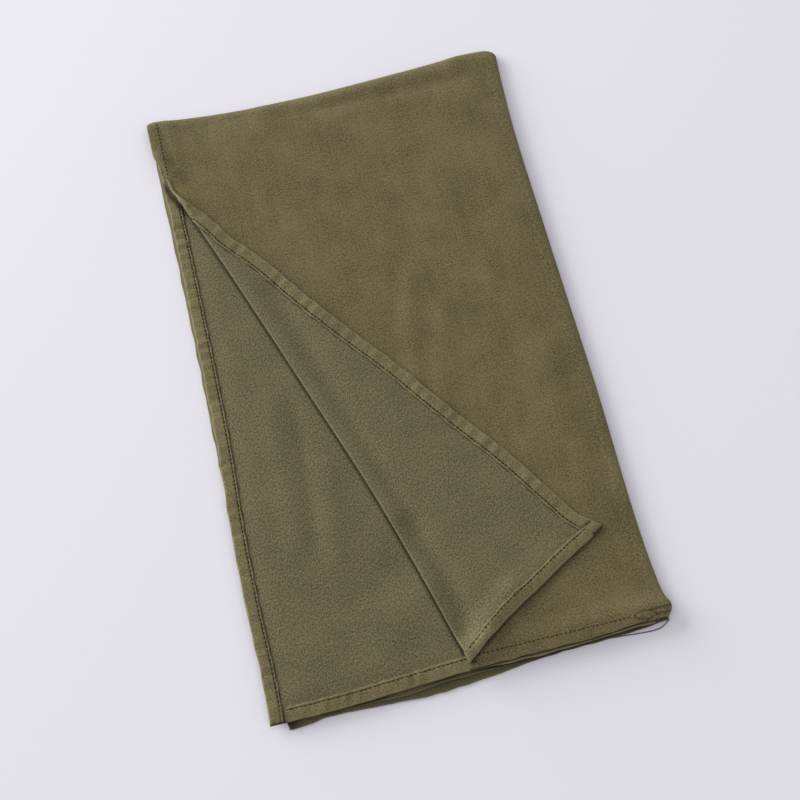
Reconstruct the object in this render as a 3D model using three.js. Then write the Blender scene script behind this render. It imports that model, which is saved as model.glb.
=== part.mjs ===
// A rectangular woven headscarf, folded in half along its length and then in thirds. It lies flat, and the near
// left corner of its top pair is turned back over the top face. Millimetres: X runs across the folded width,
// Y along the folded length, away from the viewer, and Z up from the surface that the scarf rests on.
import * as THREE from 'three';

// Driving dimensions of the real scarf
const CLOTH_WIDTH = 700;
const CLOTH_LENGTH = 1760;
const HEM = 12;
const CORNER_ALONG_SIDE = 527;
const CORNER_ALONG_END = 171;

// Cloth as it is modelled: the wall of a panel or hem strip, and the gap between pieces
const WALL = 1.0;
const GAP = 0.3;
const LIFT = WALL + GAP;

// Folded size and its edges before they stray
const WIDTH = CLOTH_WIDTH / 2;
const LENGTH = CLOTH_LENGTH / 3;
const LEFT = -WIDTH / 2;
const RIGHT = WIDTH / 2;
const FRONT = -LENGTH / 2;
const BACK = LENGTH / 2;

// The four hidden layers: pitch of one layer at the edge, and how much more the middle of the stack puffs up
const HIDDEN_LAYERS = 4;
const LAYER_PITCH = 0.95;
const EDGE_HEIGHT = HIDDEN_LAYERS * LAYER_PITCH - 0.2;
const PUFF = 1.4;
const PUFF_REACH = 30;

// Rolled edges of the top face: how far the shoulder reaches in from the edge, how far the cloth tucks back in
// under it, the height where it ends, and the angle that it turns through
const RIGHT_ROLL = { shoulder: 8, tuck: 3, end: 2.15 };
const BACK_ROLL = { shoulder: 10, tuck: 3, end: 1.1 };
const ROLL_TURN = THREE.MathUtils.degToRad(150);

// The turned corner: where its fold starts on the left edge and ends on the front edge, and its tip
const FOLD_START = new THREE.Vector2(LEFT, FRONT + CORNER_ALONG_SIDE);
const FOLD_END = new THREE.Vector2(LEFT + CORNER_ALONG_END, FRONT);
const FOLD_LENGTH = FOLD_START.distanceTo(FOLD_END);
const ALONG_FOLD = FOLD_END.clone().sub(FOLD_START).divideScalar(FOLD_LENGTH);
const ACROSS_FOLD = new THREE.Vector2(-ALONG_FOLD.y, ALONG_FOLD.x);
const TIP_ALONG = CORNER_ALONG_SIDE ** 2 / FOLD_LENGTH + 4.5;
const TIP_ACROSS = CORNER_ALONG_SIDE * CORNER_ALONG_END / FOLD_LENGTH + 0.8;
const CORNER_START = 0.02;

// How edges stray from their straight lines: a place along the edge in mm, and the stray outwards in mm
const RIGHT_STRAY = [
  { y: -294, out: -1 },
  { y: -262, out: -4 },
  { y: -60, out: -5 },
  { y: 110, out: -6.5 },
  { y: 205, out: -6.5 },
  { y: 250, out: -4.5 },
  { y: 294, out: -1 },
];
const BACK_STRAY = [
  { x: -175, out: 2 },
  { x: -150, out: 0 },
  { x: -95, out: -4 },
  { x: -30, out: -5 },
  { x: 60, out: -1 },
  { x: 150, out: 3 },
  { x: 175, out: 1 },
];
const SECOND_LEFT_STRAY = [
  { y: -300, out: 5 },
  { y: -200, out: 4 },
  { y: -100, out: 2 },
  { y: 40, out: -1 },
  { y: 160, out: -2 },
  { y: 294, out: -1 },
];
const SECOND_FRONT_STRAY = [
  { x: -180, out: 6.5 },
  { x: -108, out: 5.5 },
  { x: -50, out: 2.5 },
  { x: -5, out: 0 },
  { x: 175, out: -2.5 },
];

// Edges of the hidden layers from the surface up: how far each reaches past the folded size, in mm
const LAYER_REACH = [
  { left: -10, right: -2, back: -3, frontLeft: 10.5, frontRight: -1 },
  { left: -5, right: -2.5, back: -3, frontLeft: 9.5, frontRight: -2 },
  { left: -1.5, right: -4, back: -3, frontLeft: 8.5, frontRight: -3 },
  { left: 0.5, right: -4, back: -3, frontLeft: 7, frontRight: -4 },
];
// How deep the layers part from each other at each edge
const GROOVE = { left: 5, right: 1.5, back: 0.5, front: 2.5 };

// Soft ridges, each along a straight line: half width and height in mm
const TOP_RIDGES = [
  { fromX: -60, fromY: 283, toX: 130, toY: 286, width: 11, height: 2.0 },
  { fromX: -174, fromY: 280, toX: -150, toY: 286, width: 14, height: 1.0 },
  { fromX: 163, fromY: 225, toX: 140, toY: 60, width: 22, height: 0.8 },
  { fromX: 58, fromY: 40, toX: 34, toY: -50, width: 12, height: 0.6 },
  { fromX: 31, fromY: 70, toX: 15, toY: -20, width: 10, height: 0.6 },
  { fromX: -90, fromY: 225, toX: -40, toY: 180, width: 30, height: 0.8 },
  { fromX: 146, fromY: -281, toX: 160, toY: -279, width: 8, height: 1.2 },
];
const CORNER_RIDGES = [
  { fromX: -60, fromY: 55, toX: 5, toY: -60, width: 26, height: 0.9 },
  { fromX: 8, fromY: -262, toX: 42, toY: -224, width: 14, height: 2.6 },
  { fromX: -2, fromY: -290, toX: 4, toY: -270, width: 17, height: 3.2 },
  { fromX: 60, fromY: -160, toX: 20, toY: -130, width: 24, height: 0.7 },
];
const SECOND_RIDGES = [
  { fromX: -120, fromY: -20, toX: -124, toY: -150, width: 13, height: 0.9 },
  { fromX: -84, fromY: -90, toX: -92, toY: -170, width: 12, height: 0.7 },
  { fromX: -62, fromY: -250, toX: -20, toY: -215, width: 16, height: 0.8 },
];

// Small helpers
const mix = THREE.MathUtils.lerp;
const ease = (value) => THREE.MathUtils.smoothstep(value, 0, 1);

function curveThrough(rows, place, value) {
  const places = rows.map((row) => row[place]);
  const values = rows.map((row) => row[value]);
  const curve = new THREE.CubicInterpolant(places, values, 1);
  return (at) => curve.evaluate(at)[0];
}

// Values from start on, in stretches that each have an end and a number of equal steps
function steps(start, stretches) {
  const values = [start];
  for (const { to, count } of stretches) {
    const from = values.at(-1);
    for (let k = 1; k <= count; k += 1) values.push(mix(from, to, k / count));
  }
  return values;
}

const rightStray = curveThrough(RIGHT_STRAY, 'y', 'out');
const backStray = curveThrough(BACK_STRAY, 'x', 'out');
const secondLeftStray = curveThrough(SECOND_LEFT_STRAY, 'y', 'out');
const secondFrontStray = curveThrough(SECOND_FRONT_STRAY, 'x', 'out');

// Edges of the top face and of the second face, as drawn from above
const rightEdge = (y) => RIGHT + rightStray(y);
const backEdge = (x) => BACK + backStray(x);
const secondLeft = (y) => LEFT - secondLeftStray(y);
const secondFront = (x) => FRONT - secondFrontStray(x);

function ridgeHeight(ridges, x, y) {
  let height = 0;
  for (const ridge of ridges) {
    const runX = ridge.toX - ridge.fromX;
    const runY = ridge.toY - ridge.fromY;
    const along = ((x - ridge.fromX) * runX + (y - ridge.fromY) * runY) / (runX * runX + runY * runY);
    const t = THREE.MathUtils.clamp(along, 0, 1);
    const distance = Math.hypot(x - ridge.fromX - runX * t, y - ridge.fromY - runY * t);
    height += ridge.height * Math.exp(-((distance / ridge.width) ** 2));
  }
  return height;
}

// 1 over a hem strip, falling to 0 past its inner edge, so that the cloth above is lifted over the strip
const HEM_CLEAR = HEM + 1.5;
const HEM_SLOPE = 18;
const overHem = (fromEdge) => 1 - ease((fromEdge - HEM_CLEAR) / HEM_SLOPE);

// Heights of the panels, each lying on the one under it
function coreTop(x, y) {
  const sides = [x - secondLeft(y), rightEdge(y) - x, y - secondFront(x), backEdge(x) - y];
  const puffed = sides.reduce((share, fromEdge) => share * ease(fromEdge / PUFF_REACH), 1);
  return EDGE_HEIGHT + PUFF * puffed;
}

function secondTop(x, y) {
  return coreTop(x, y) + LIFT + ridgeHeight(SECOND_RIDGES, x, y);
}

function faceUnderside(x, y) {
  const secondHems = Math.max(overHem(x - secondLeft(y)), overHem(y - secondFront(x)));
  const pastFold = ease((y - FOLD_START.y + 5) / 30);
  const ownHems = Math.max(overHem(y - FRONT), overHem(x - LEFT) * pastFold);
  return secondTop(x, y) + GAP + LIFT * (secondHems + ownHems) + ridgeHeight(TOP_RIDGES, x, y);
}

const faceTop = (x, y) => faceUnderside(x, y) + WALL;
const cornerUnderside = (x, y) => faceTop(x, y) + GAP + ridgeHeight(CORNER_RIDGES, x, y);
const cornerTop = (x, y) => cornerUnderside(x, y) + WALL;

// A point in plan from its place along the corner's fold and its distance in from the fold
function fromFold(along, across) {
  return new THREE.Vector2()
    .copy(FOLD_START)
    .addScaledVector(ALONG_FOLD, along)
    .addScaledVector(ACROSS_FOLD, across);
}

// The corner's fold is a roll that takes up the height between the two cloths that it joins
function foldRadius(along) {
  let radius = WALL;
  for (let pass = 0; pass < 3; pass += 1) {
    const { x, y } = fromFold(along, radius);
    radius = (cornerTop(x, y) - faceUnderside(x, y)) / 2;
  }
  return radius;
}

// Closed solid from a grid of point pairs, the upper and lower side of a wall, with its four rims closed.
// Columns run to the right and rows away from the viewer, so the upper side faces up.
function wall(columns, rows, pairAt) {
  const positions = [];
  const index = [];
  for (let row = 0; row <= rows; row += 1) {
    for (let column = 0; column <= columns; column += 1) {
      const [upper, lower] = pairAt(column, row);
      positions.push(...upper, ...lower);
    }
  }
  const upper = (column, row) => 2 * (row * (columns + 1) + column);
  const lower = (column, row) => upper(column, row) + 1;
  const quad = (a, b, c, d) => index.push(a, b, c, a, c, d);
  for (let row = 0; row < rows; row += 1) {
    for (let column = 0; column < columns; column += 1) {
      quad(upper(column, row), upper(column + 1, row), upper(column + 1, row + 1), upper(column, row + 1));
      quad(lower(column, row), lower(column, row + 1), lower(column + 1, row + 1), lower(column + 1, row));
    }
  }
  for (let column = 0; column < columns; column += 1) {
    quad(lower(column, 0), lower(column + 1, 0), upper(column + 1, 0), upper(column, 0));
    quad(lower(column + 1, rows), lower(column, rows), upper(column, rows), upper(column + 1, rows));
  }
  for (let row = 0; row < rows; row += 1) {
    quad(lower(0, row + 1), lower(0, row), upper(0, row), upper(0, row + 1));
    quad(lower(columns, row), lower(columns, row + 1), upper(columns, row + 1), upper(columns, row));
  }
  return solidFrom(positions, index);
}

function solidFrom(positions, index) {
  const geometry = new THREE.BufferGeometry();
  geometry.setAttribute('position', new THREE.Float32BufferAttribute(positions, 3));
  geometry.setIndex(index);
  geometry.computeVertexNormals();
  return geometry;
}

// A strip of cloth lying on a surface: its plan is given by columns and rows, its height by the surface
function stripOn(surface, columns, rows, planAt) {
  return wall(columns, rows, (column, row) => {
    const { x, y } = planAt(column / columns, row / rows);
    const z = surface(x, y) + GAP;
    return [[x, y, z + WALL], [x, y, z]];
  });
}

// Upper cloth of the top pair. Past its flat part it turns down over the right and back folds; in the corner
// between them the two rolls run together as a quarter of a dome.
const FACE_COLUMNS = 18;
const ROLL_STEPS = 5;
const FACE_ROWS = steps(FRONT, [
  { to: FRONT + HEM_CLEAR, count: 2 },
  { to: FRONT + HEM_CLEAR + HEM_SLOPE, count: 3 },
  { to: FOLD_START.y + 5, count: 22 },
  { to: BACK - BACK_ROLL.shoulder, count: 5 },
]);

// The left edge of the top face runs beside the fold's roll and then up the left side
function faceLeft(y) {
  const along = (FOLD_START.y - y) / -ALONG_FOLD.y;
  const besideRoll = (foldRadius(Math.max(along, 0)) + GAP) / ACROSS_FOLD.x;
  return Math.max(LEFT, mix(FOLD_START.x, FOLD_END.x, along / FOLD_LENGTH) + besideRoll);
}

function topFace() {
  const flatRows = FACE_ROWS.length - 1;
  const pairAt = (column, row) => {
    const y0 = FACE_ROWS[Math.min(row, flatRows)];
    const rightFlat = rightEdge(y0) - RIGHT_ROLL.shoulder;
    const x0 = mix(faceLeft(y0), rightFlat, Math.min(column / FACE_COLUMNS, 1));
    const strayed = y0 + backStray(x0) * ease((y0 - FOLD_START.y - 5) / 30);
    const overRight = Math.max(0, column - FACE_COLUMNS) / ROLL_STEPS;
    const overBack = Math.max(0, row - flatRows) / ROLL_STEPS;
    return rolledPair(x0, strayed, overRight, overBack);
  };
  return wall(FACE_COLUMNS + ROLL_STEPS, flatRows + ROLL_STEPS, pairAt);
}

// Upper and lower point of the top face, past the flat part by shares of the right roll and of the back roll
function rolledPair(x, y, overRight, overBack) {
  const turned = Math.max(overRight, overBack);
  const upper = faceTop(x, y);
  if (turned === 0) return [[x, y, upper], [x, y, upper - WALL]];
  const quarter = Math.PI / 4;
  const heading = overRight >= overBack
    ? quarter * (overBack / overRight)
    : 2 * quarter - quarter * (overRight / overBack);
  const toBack = Math.sin(heading) ** 2;
  const angle = turned * ROLL_TURN;
  const end = mix(RIGHT_ROLL.end, BACK_ROLL.end, toBack);
  const drop = (upper - end) / (1 - Math.cos(ROLL_TURN));
  const outwards = (roll, inset) => {
    const reach = angle <= Math.PI / 2 ? roll.shoulder - inset : roll.tuck - inset;
    return roll.shoulder - inset - reach * (1 - Math.sin(angle));
  };
  const point = (inset) => [
    x + outwards(RIGHT_ROLL, inset) * Math.cos(heading),
    y + outwards(BACK_ROLL, inset) * Math.sin(heading),
    upper - drop + (drop - inset) * Math.cos(angle),
  ];
  return [point(0), point(WALL)];
}

// The corner turned back: a roll along its fold, then the cloth over the top face. Its rows run parallel to its
// end hem and shrink towards the start of the fold.
const FOLD_STEPS = 6;
const TURNED_COLUMNS = steps(0, [
  { to: 0.36, count: 7 },
  { to: 1, count: 6 },
]);
const ROW_SLANT = (TIP_ALONG - FOLD_LENGTH) / TIP_ACROSS;
const END_HEM_SHARE = (HEM / FOLD_LENGTH) * Math.hypot(1, ROW_SLANT);
const TURNED_ROWS = steps(CORNER_START, [
  { to: 0.12, count: 3 },
  { to: 0.8, count: 12 },
  { to: 1 - END_HEM_SHARE, count: 9 },
  { to: 1, count: 2 },
]).reverse();
const LONG_HEM_STRAY = [
  { share: 0, out: 0 },
  { share: 0.3, out: 2.5 },
  { share: 0.5, out: 1 },
  { share: 0.68, out: -3.5 },
  { share: 0.85, out: -2.5 },
  { share: 1, out: 0 },
];
const longHemStray = curveThrough(LONG_HEM_STRAY, 'share', 'out');
const turnedReach = (share) => share * TIP_ACROSS + longHemStray(share);

function turnedPlan(share, across) {
  return fromFold(share * FOLD_LENGTH + ROW_SLANT * across, across);
}

function turnedCorner() {
  const pairAt = (column, row) => {
    const share = TURNED_ROWS[row];
    const radius = foldRadius(share * FOLD_LENGTH);
    if (column >= FOLD_STEPS) {
      const across = mix(radius, turnedReach(share), TURNED_COLUMNS[column - FOLD_STEPS]);
      const { x, y } = turnedPlan(share, across);
      const z = cornerTop(x, y);
      return [[x, y, z], [x, y, z - WALL]];
    }
    const angle = mix(-Math.PI / 2, Math.PI / 2, column / FOLD_STEPS);
    const along = share * FOLD_LENGTH + ROW_SLANT * radius * Math.sin(angle);
    const seat = fromFold(share * FOLD_LENGTH, radius);
    const middle = cornerTop(seat.x, seat.y) - radius;
    const point = (size) => {
      const { x, y } = fromFold(along, radius - size * Math.cos(angle));
      return [x, y, middle + size * Math.sin(angle)];
    };
    return [point(radius), point(radius - WALL)];
  };
  return wall(FOLD_STEPS + TURNED_COLUMNS.length - 1, TURNED_ROWS.length - 1, pairAt);
}

// Hems of the turned corner. The long hem narrows where the fold cuts it; the end hem butts against it.
const HEM_CELLS = 2;
const LONG_HEM_START = 0.035;

function cornerLongHem() {
  const slope = TIP_ACROSS / TIP_ALONG;
  const stepIn = HEM * Math.hypot(1, slope);
  return stripOn(cornerTop, HEM_CELLS, 24, (across, up) => {
    const share = mix(1, LONG_HEM_START, up);
    const outer = turnedReach(share);
    const inner = Math.max(outer - stepIn, foldRadius(share * FOLD_LENGTH) + GAP);
    return turnedPlan(share, mix(inner, outer, across));
  });
}

function cornerEndHem() {
  const longHemWidth = HEM * Math.hypot(1, TIP_ACROSS / TIP_ALONG);
  const radius = foldRadius(FOLD_LENGTH);
  const cells = TURNED_COLUMNS.length - 1;
  return stripOn(cornerTop, cells, HEM_CELLS, (across, up) => {
    const share = 1 - END_HEM_SHARE * up;
    const reach = turnedReach(share);
    const station = mix(radius, reach, TURNED_COLUMNS[Math.round(across * cells)]);
    return turnedPlan(share, THREE.MathUtils.clamp(station, radius + GAP, reach - longHemWidth - GAP));
  });
}

// Lower cloth of the top pair, from the left hem to just inside the right roll
const SECOND_COLUMNS = steps(0, [
  { to: 0.1, count: 5 },
  { to: 0.89, count: 6 },
  { to: 1, count: 4 },
]);
const SECOND_ROWS = steps(0, [
  { to: 0.06, count: 5 },
  { to: 0.94, count: 16 },
  { to: 1, count: 4 },
]);

function secondPlan(columnShare, rowShare) {
  const y0 = mix(FRONT, BACK - BACK_ROLL.shoulder - 4, rowShare);
  const x = mix(secondLeft(y0), rightEdge(y0) - RIGHT_ROLL.shoulder - 2, columnShare);
  return new THREE.Vector2(x, mix(secondFront(x), BACK - BACK_ROLL.shoulder - 8, rowShare));
}

function secondFace() {
  return wall(SECOND_COLUMNS.length - 1, SECOND_ROWS.length - 1, (column, row) => {
    const { x, y } = secondPlan(SECOND_COLUMNS[column], SECOND_ROWS[row]);
    const z = secondTop(x, y);
    return [[x, y, z], [x, y, z - WALL]];
  });
}

function secondLongHem() {
  return stripOn(secondTop, HEM_CELLS, 26, (across, up) => {
    const plan = secondPlan(0, up);
    plan.x += across * HEM;
    return plan;
  });
}

function secondEndHem() {
  return stripOn(secondTop, 20, HEM_CELLS, (across, up) => {
    const x = mix(secondLeft(FRONT) + HEM + GAP, rightEdge(FRONT) - RIGHT_ROLL.shoulder - 3, across);
    return new THREE.Vector2(x, secondFront(x) + up * HEM);
  });
}

// Hems under the top face: they lie on the second face's hems and hold the top face up along its edges
const underFace = (x, y) => faceUnderside(x, y) - LIFT - GAP;

function topFaceEndHem() {
  return stripOn(underFace, 20, HEM_CELLS, (across, up) => {
    const y = FRONT + up * HEM;
    const start = faceLeft(y) + GAP;
    return new THREE.Vector2(mix(start, rightEdge(y) - RIGHT_ROLL.shoulder - 3, across), y);
  });
}

function topFaceSideHem() {
  return stripOn(underFace, HEM_CELLS, 5, (across, up) => {
    const y = mix(FOLD_START.y + 27, BACK - BACK_ROLL.shoulder - 6, up);
    return new THREE.Vector2(LEFT + across * HEM, y);
  });
}

// The hidden layers in one rounded solid: rings from the flat underside up, each layer a lip with a groove above
// it, then the puffed top
const RING_SIDE_STEPS = { x: 10, y: 18 };
const RING_CORNER_STEPS = 4;
const RING_CORNER = 5;

// Shares from -1 to 1 across and along a rectangle with rounded corners, anticlockwise from its front left
function roundedSquare() {
  const radiusX = RING_CORNER / (WIDTH / 2);
  const radiusY = RING_CORNER / (LENGTH / 2);
  const corners = [[-1, -1], [1, -1], [1, 1], [-1, 1]];
  const shares = [];
  corners.forEach(([signX, signY], k) => {
    const start = Math.PI + (k * Math.PI) / 2;
    for (let step = 0; step <= RING_CORNER_STEPS; step += 1) {
      const angle = start + (step / RING_CORNER_STEPS) * (Math.PI / 2);
      shares.push([
        signX * (1 - radiusX) + radiusX * Math.cos(angle),
        signY * (1 - radiusY) + radiusY * Math.sin(angle),
      ]);
    }
    const from = shares.at(-1);
    const next = corners[(k + 1) % 4];
    const endAngle = Math.PI + ((k + 1) * Math.PI) / 2;
    const to = [
      next[0] * (1 - radiusX) + radiusX * Math.cos(endAngle),
      next[1] * (1 - radiusY) + radiusY * Math.sin(endAngle),
    ];
    const count = k % 2 === 0 ? RING_SIDE_STEPS.x : RING_SIDE_STEPS.y;
    for (let step = 1; step < count; step += 1) {
      shares.push([mix(from[0], to[0], step / count), mix(from[1], to[1], step / count)]);
    }
  });
  return shares;
}

function layerPoint(reach, inset, [shareX, shareY]) {
  const y0 = shareY * LENGTH / 2;
  const x0 = shareX * WIDTH / 2;
  const left = secondLeft(y0) - reach.left + inset.left;
  const right = RIGHT + rightStray(y0) + 1 + reach.right - inset.right;
  const frontReach = mix(reach.frontLeft, reach.frontRight, ease((shareX + 0.4) / 1.4));
  const front = FRONT - frontReach + inset.front;
  const back = backEdge(x0) + reach.back - inset.back;
  return [mix(left, right, (shareX + 1) / 2), mix(front, back, (shareY + 1) / 2)];
}

const evenInset = (size) => ({ left: size, right: size, back: size, front: size });

function coreRings() {
  const shares = roundedSquare();
  const rings = [];
  const addRing = (reach, inset, height) => {
    rings.push(shares.map((share) => {
      const [x, y] = layerPoint(reach, inset, share);
      return [x, y, height(x, y)];
    }));
  };
  const lip = LAYER_PITCH * 0.35;
  LAYER_REACH.forEach((reach, k) => {
    const floor = k * LAYER_PITCH;
    addRing(reach, evenInset(lip), () => floor);
    addRing(reach, evenInset(0), () => floor + lip);
    addRing(reach, evenInset(lip), () => floor + 2 * lip);
    if (k < HIDDEN_LAYERS - 1) addRing(reach, GROOVE, () => floor + 2.4 * lip);
  });
  const top = LAYER_REACH.at(-1);
  for (const size of [2, 8, 15, 23, 32]) addRing(top, evenInset(size), (x, y) => coreTop(x, y));
  return rings;
}

function foldedCore() {
  const rings = coreRings();
  const positions = rings.flat(2);
  const index = [];
  const count = rings[0].length;
  for (let ring = 0; ring < rings.length - 1; ring += 1) {
    for (let k = 0; k < count; k += 1) {
      const a = ring * count + k;
      const b = ring * count + ((k + 1) % count);
      index.push(a, b, b + count, a, b + count, a + count);
    }
  }
  const underside = positions.length / 3;
  positions.push(0, 0, 0);
  const summit = underside + 1;
  positions.push(0, 0, EDGE_HEIGHT + PUFF);
  const lastRing = (rings.length - 1) * count;
  for (let k = 0; k < count; k += 1) {
    index.push(underside, (k + 1) % count, k);
    index.push(summit, lastRing + k, lastRing + ((k + 1) % count));
  }
  return solidFrom(positions, index);
}

// Colours of the dyed cloth on its right side, its wrong side and its hems
const CLOTH = {
  rightSide: 0x6d6346,
  wrongSide: 0x6a6347,
  wrongSideLow: 0x68624a,
  hem: 0x776f50,
  layers: 0x5f5940,
};
const PIECES = [
  { name: 'folded_core', geometry: foldedCore(), color: CLOTH.layers },
  { name: 'second_face', geometry: secondFace(), color: CLOTH.wrongSideLow },
  { name: 'second_long_hem', geometry: secondLongHem(), color: CLOTH.hem },
  { name: 'second_end_hem', geometry: secondEndHem(), color: CLOTH.hem },
  { name: 'top_face_end_hem', geometry: topFaceEndHem(), color: CLOTH.hem },
  { name: 'top_face_side_hem', geometry: topFaceSideHem(), color: CLOTH.hem },
  { name: 'top_face', geometry: topFace(), color: CLOTH.rightSide },
  { name: 'turned_corner', geometry: turnedCorner(), color: CLOTH.wrongSide },
  { name: 'corner_long_hem', geometry: cornerLongHem(), color: CLOTH.hem },
  { name: 'corner_end_hem', geometry: cornerEndHem(), color: CLOTH.hem },
];

const scarf = new THREE.Group();
for (const { name, geometry, color } of PIECES) {
  const material = new THREE.MeshStandardMaterial({ color, roughness: 0.9, metalness: 0 });
  const piece = new THREE.Mesh(geometry, material);
  piece.name = name;
  scarf.add(piece);
}

// The origin is under the middle of the whole folded scarf
const whole = new THREE.Box3().setFromObject(scarf);
const middle = whole.getCenter(new THREE.Vector3());
scarf.position.set(-middle.x, -middle.y, -whole.min.z);

export default scarf;
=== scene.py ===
# %% [markdown]
# # A headscarf folded flat
#
# The scarf is one rectangle of thin woven cloth with narrow stitched hems. It lies folded in half along
# its length and then in thirds, and one corner of its top pair is turned back. This lesson lays thin sheets
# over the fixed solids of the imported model: first the sizes and the shapes that all pieces share, then one
# cell for each piece of cloth, then the thread, the finishes, the light and the camera.

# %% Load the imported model
from collections import namedtuple

import bmesh
import bpy
import numpy as np
from mathutils import Matrix, Vector


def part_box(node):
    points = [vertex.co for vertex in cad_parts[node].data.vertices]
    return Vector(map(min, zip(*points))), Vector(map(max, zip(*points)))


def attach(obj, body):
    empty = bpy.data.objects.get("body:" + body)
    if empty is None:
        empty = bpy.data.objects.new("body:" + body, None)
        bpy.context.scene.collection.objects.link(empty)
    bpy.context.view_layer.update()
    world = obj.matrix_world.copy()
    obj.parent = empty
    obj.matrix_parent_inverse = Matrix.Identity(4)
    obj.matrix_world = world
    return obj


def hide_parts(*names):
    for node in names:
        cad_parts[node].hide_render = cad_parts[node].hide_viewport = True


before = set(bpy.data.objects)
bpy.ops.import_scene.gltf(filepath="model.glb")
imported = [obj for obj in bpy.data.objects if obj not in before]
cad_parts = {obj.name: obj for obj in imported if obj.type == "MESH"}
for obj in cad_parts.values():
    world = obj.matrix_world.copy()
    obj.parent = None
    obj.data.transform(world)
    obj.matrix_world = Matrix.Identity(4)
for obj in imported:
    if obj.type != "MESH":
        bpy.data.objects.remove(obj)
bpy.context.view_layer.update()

print("nodes:", sorted(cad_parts))

# %% [markdown]
# ## Sizes
#
# Everything is worked out in millimetres around the middle of the folded stack, the way a maker would
# measure it, and only the last step moves it into the frame. The top face's solid starts exactly at the left
# edge and at the front edge of the stack, so its box says how far that move is.

# %% Sizes of the folded scarf in millimetres
MM = 0.001
CLOTH_WIDTH = 700.0
CLOTH_LENGTH = 1760.0
HEM = 12.0
CORNER_ALONG_SIDE = 527.0
CORNER_ALONG_END = 171.0
WALL = 1.0
GAP = 0.3
LIFT = WALL + GAP
CLOTH = 0.5

LEFT, RIGHT = -CLOTH_WIDTH / 4, CLOTH_WIDTH / 4
FRONT, BACK = -CLOTH_LENGTH / 6, CLOTH_LENGTH / 6
EDGE_HEIGHT = 3.6
PUFF = 2.2
PUFF_REACH = 30.0
RIGHT_REACH = 44.0

face_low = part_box("top_face")[0]
TO_FRAME = np.array([face_low.x / MM - LEFT, face_low.y / MM - FRONT, 0.0])
print("stack to frame, mm:", TO_FRAME.round(2))

# %% [markdown]
# ## Soft curves and ridges
#
# Pressed cloth is never quite straight: its edges stray by a few millimetres and its faces carry soft
# ridges and troughs. An edge is a short table of strays with a smooth curve through it. A ridge is a line
# with a width and a height, and a trough is a ridge with a height below zero. Both could be sculpted by hand,
# but as tables they can be measured, moved and read. A line of painted shade on the cloth, as at the foot of
# a fold, is the same kind of line, with a darkness in place of the height.

# %% Curves through tables, and ridges along lines
Ridge = namedtuple("Ridge", "line width height")
Shade = namedtuple("Shade", "line width darkness")
Wave = namedtuple("Wave", "height length")
WAVES_ADDED = 5
WAVES_REACH = 2.6


def ease(value):
    value = np.clip(value, 0.0, 1.0)
    return value * value * (3 - 2 * value)


def mix(start, end, share):
    return start + (end - start) * share


def curve_through(places, values):
    """A smooth curve whose slope at each place is the mean of the slopes on its two sides."""
    places, values = np.array(places, float), np.array(values, float)
    secants = np.diff(values) / np.diff(places)
    slopes = np.concatenate([secants[:1], (secants[:-1] + secants[1:]) / 2, secants[-1:]])

    def at(x):
        x = np.clip(x, places[0], places[-1])
        k = np.clip(np.searchsorted(places, x) - 1, 0, len(places) - 2)
        width = places[k + 1] - places[k]
        t = (x - places[k]) / width
        bend = ease(t)
        start = slopes[k] * width * t * (1 - t) ** 2
        end = slopes[k + 1] * width * t * t * (t - 1)
        return mix(values[k], values[k + 1], bend) + start + end

    return at


def from_line(x, y, line):
    """Distance of each point from a bent line."""
    nearest = np.full(np.shape(x), 1e9)
    for (from_x, from_y), (to_x, to_y) in zip(line, line[1:]):
        run_x, run_y = to_x - from_x, to_y - from_y
        share = np.clip(((x - from_x) * run_x + (y - from_y) * run_y) / (run_x**2 + run_y**2), 0, 1)
        nearest = np.minimum(nearest, np.hypot(x - from_x - run_x * share, y - from_y - run_y * share))
    return nearest


def near(distance, width):
    """1 at no distance, falling softly to nothing past the width."""
    return np.exp(-((distance / width) ** 2))


def soft_lines(lines, x, y):
    """The heights of ridges, or the darkness of shades, added up at each point."""
    return sum(strength * near(from_line(x, y, line), width) for line, width, strength in lines)


def ripple(wave, x, seed):
    """An uneven wave of about the given height, the same on every run."""
    numbers = np.random.default_rng(seed)
    stretches = numbers.uniform(0.6, 1.7, WAVES_ADDED)
    phases = numbers.uniform(0, 2 * np.pi, WAVES_ADDED)
    swings = sum(np.sin(2 * np.pi * x / (wave.length * s) + p) for s, p in zip(stretches, phases))
    return wave.height * (swings / WAVES_REACH)


# %% Edges of the stack
right_stray = curve_through([-294, -290, -286, -281, -275, -262, -60, 110, 205, 250, 294],
                            [-5, -2, 0, 0.6, -2, -4, -5, -6.5, -6.5, -4.5, -1])
back_stray = curve_through([-175, -169, -150, -95, -30, 60, 115, 142, 164, 175],
                           [-0.5, 1.5, 0, -4, -5, -1, 2.6, 5.4, 4.6, 2])
second_left_stray = curve_through([-300, -268, -197, -124, -48, 31, 156, 244, 294],
                                  [5, 3.6, 4, 2.6, -1.2, -2.8, -4, -3.6, -1])
second_front_stray = curve_through([-180, -108, -50, -5, 20, 55, 90, 130, 175],
                                   [6.5, 5.5, 2.5, 0.6, 1.8, 2.2, 1, -1, -2.5])
top_front_stray = curve_through([0, 40, 72, 108, 126, 144, 157, 169, 175],
                                [0, 0.6, 0.9, 1.6, 3, 4.2, 4, 3, 2.5])


def right_edge(y):
    return RIGHT + right_stray(y)


def back_edge(x):
    return BACK + back_stray(x)


def second_left(y):
    return LEFT - second_left_stray(y)


def second_front(x):
    return FRONT - second_front_stray(x)


def top_front(x):
    return FRONT + top_front_stray(x)


print("stack's width and length at its middle, mm:", (right_edge(0.0) - second_left(0.0)).round(1),
      (back_edge(0.0) - second_front(0.0)).round(1))

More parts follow.
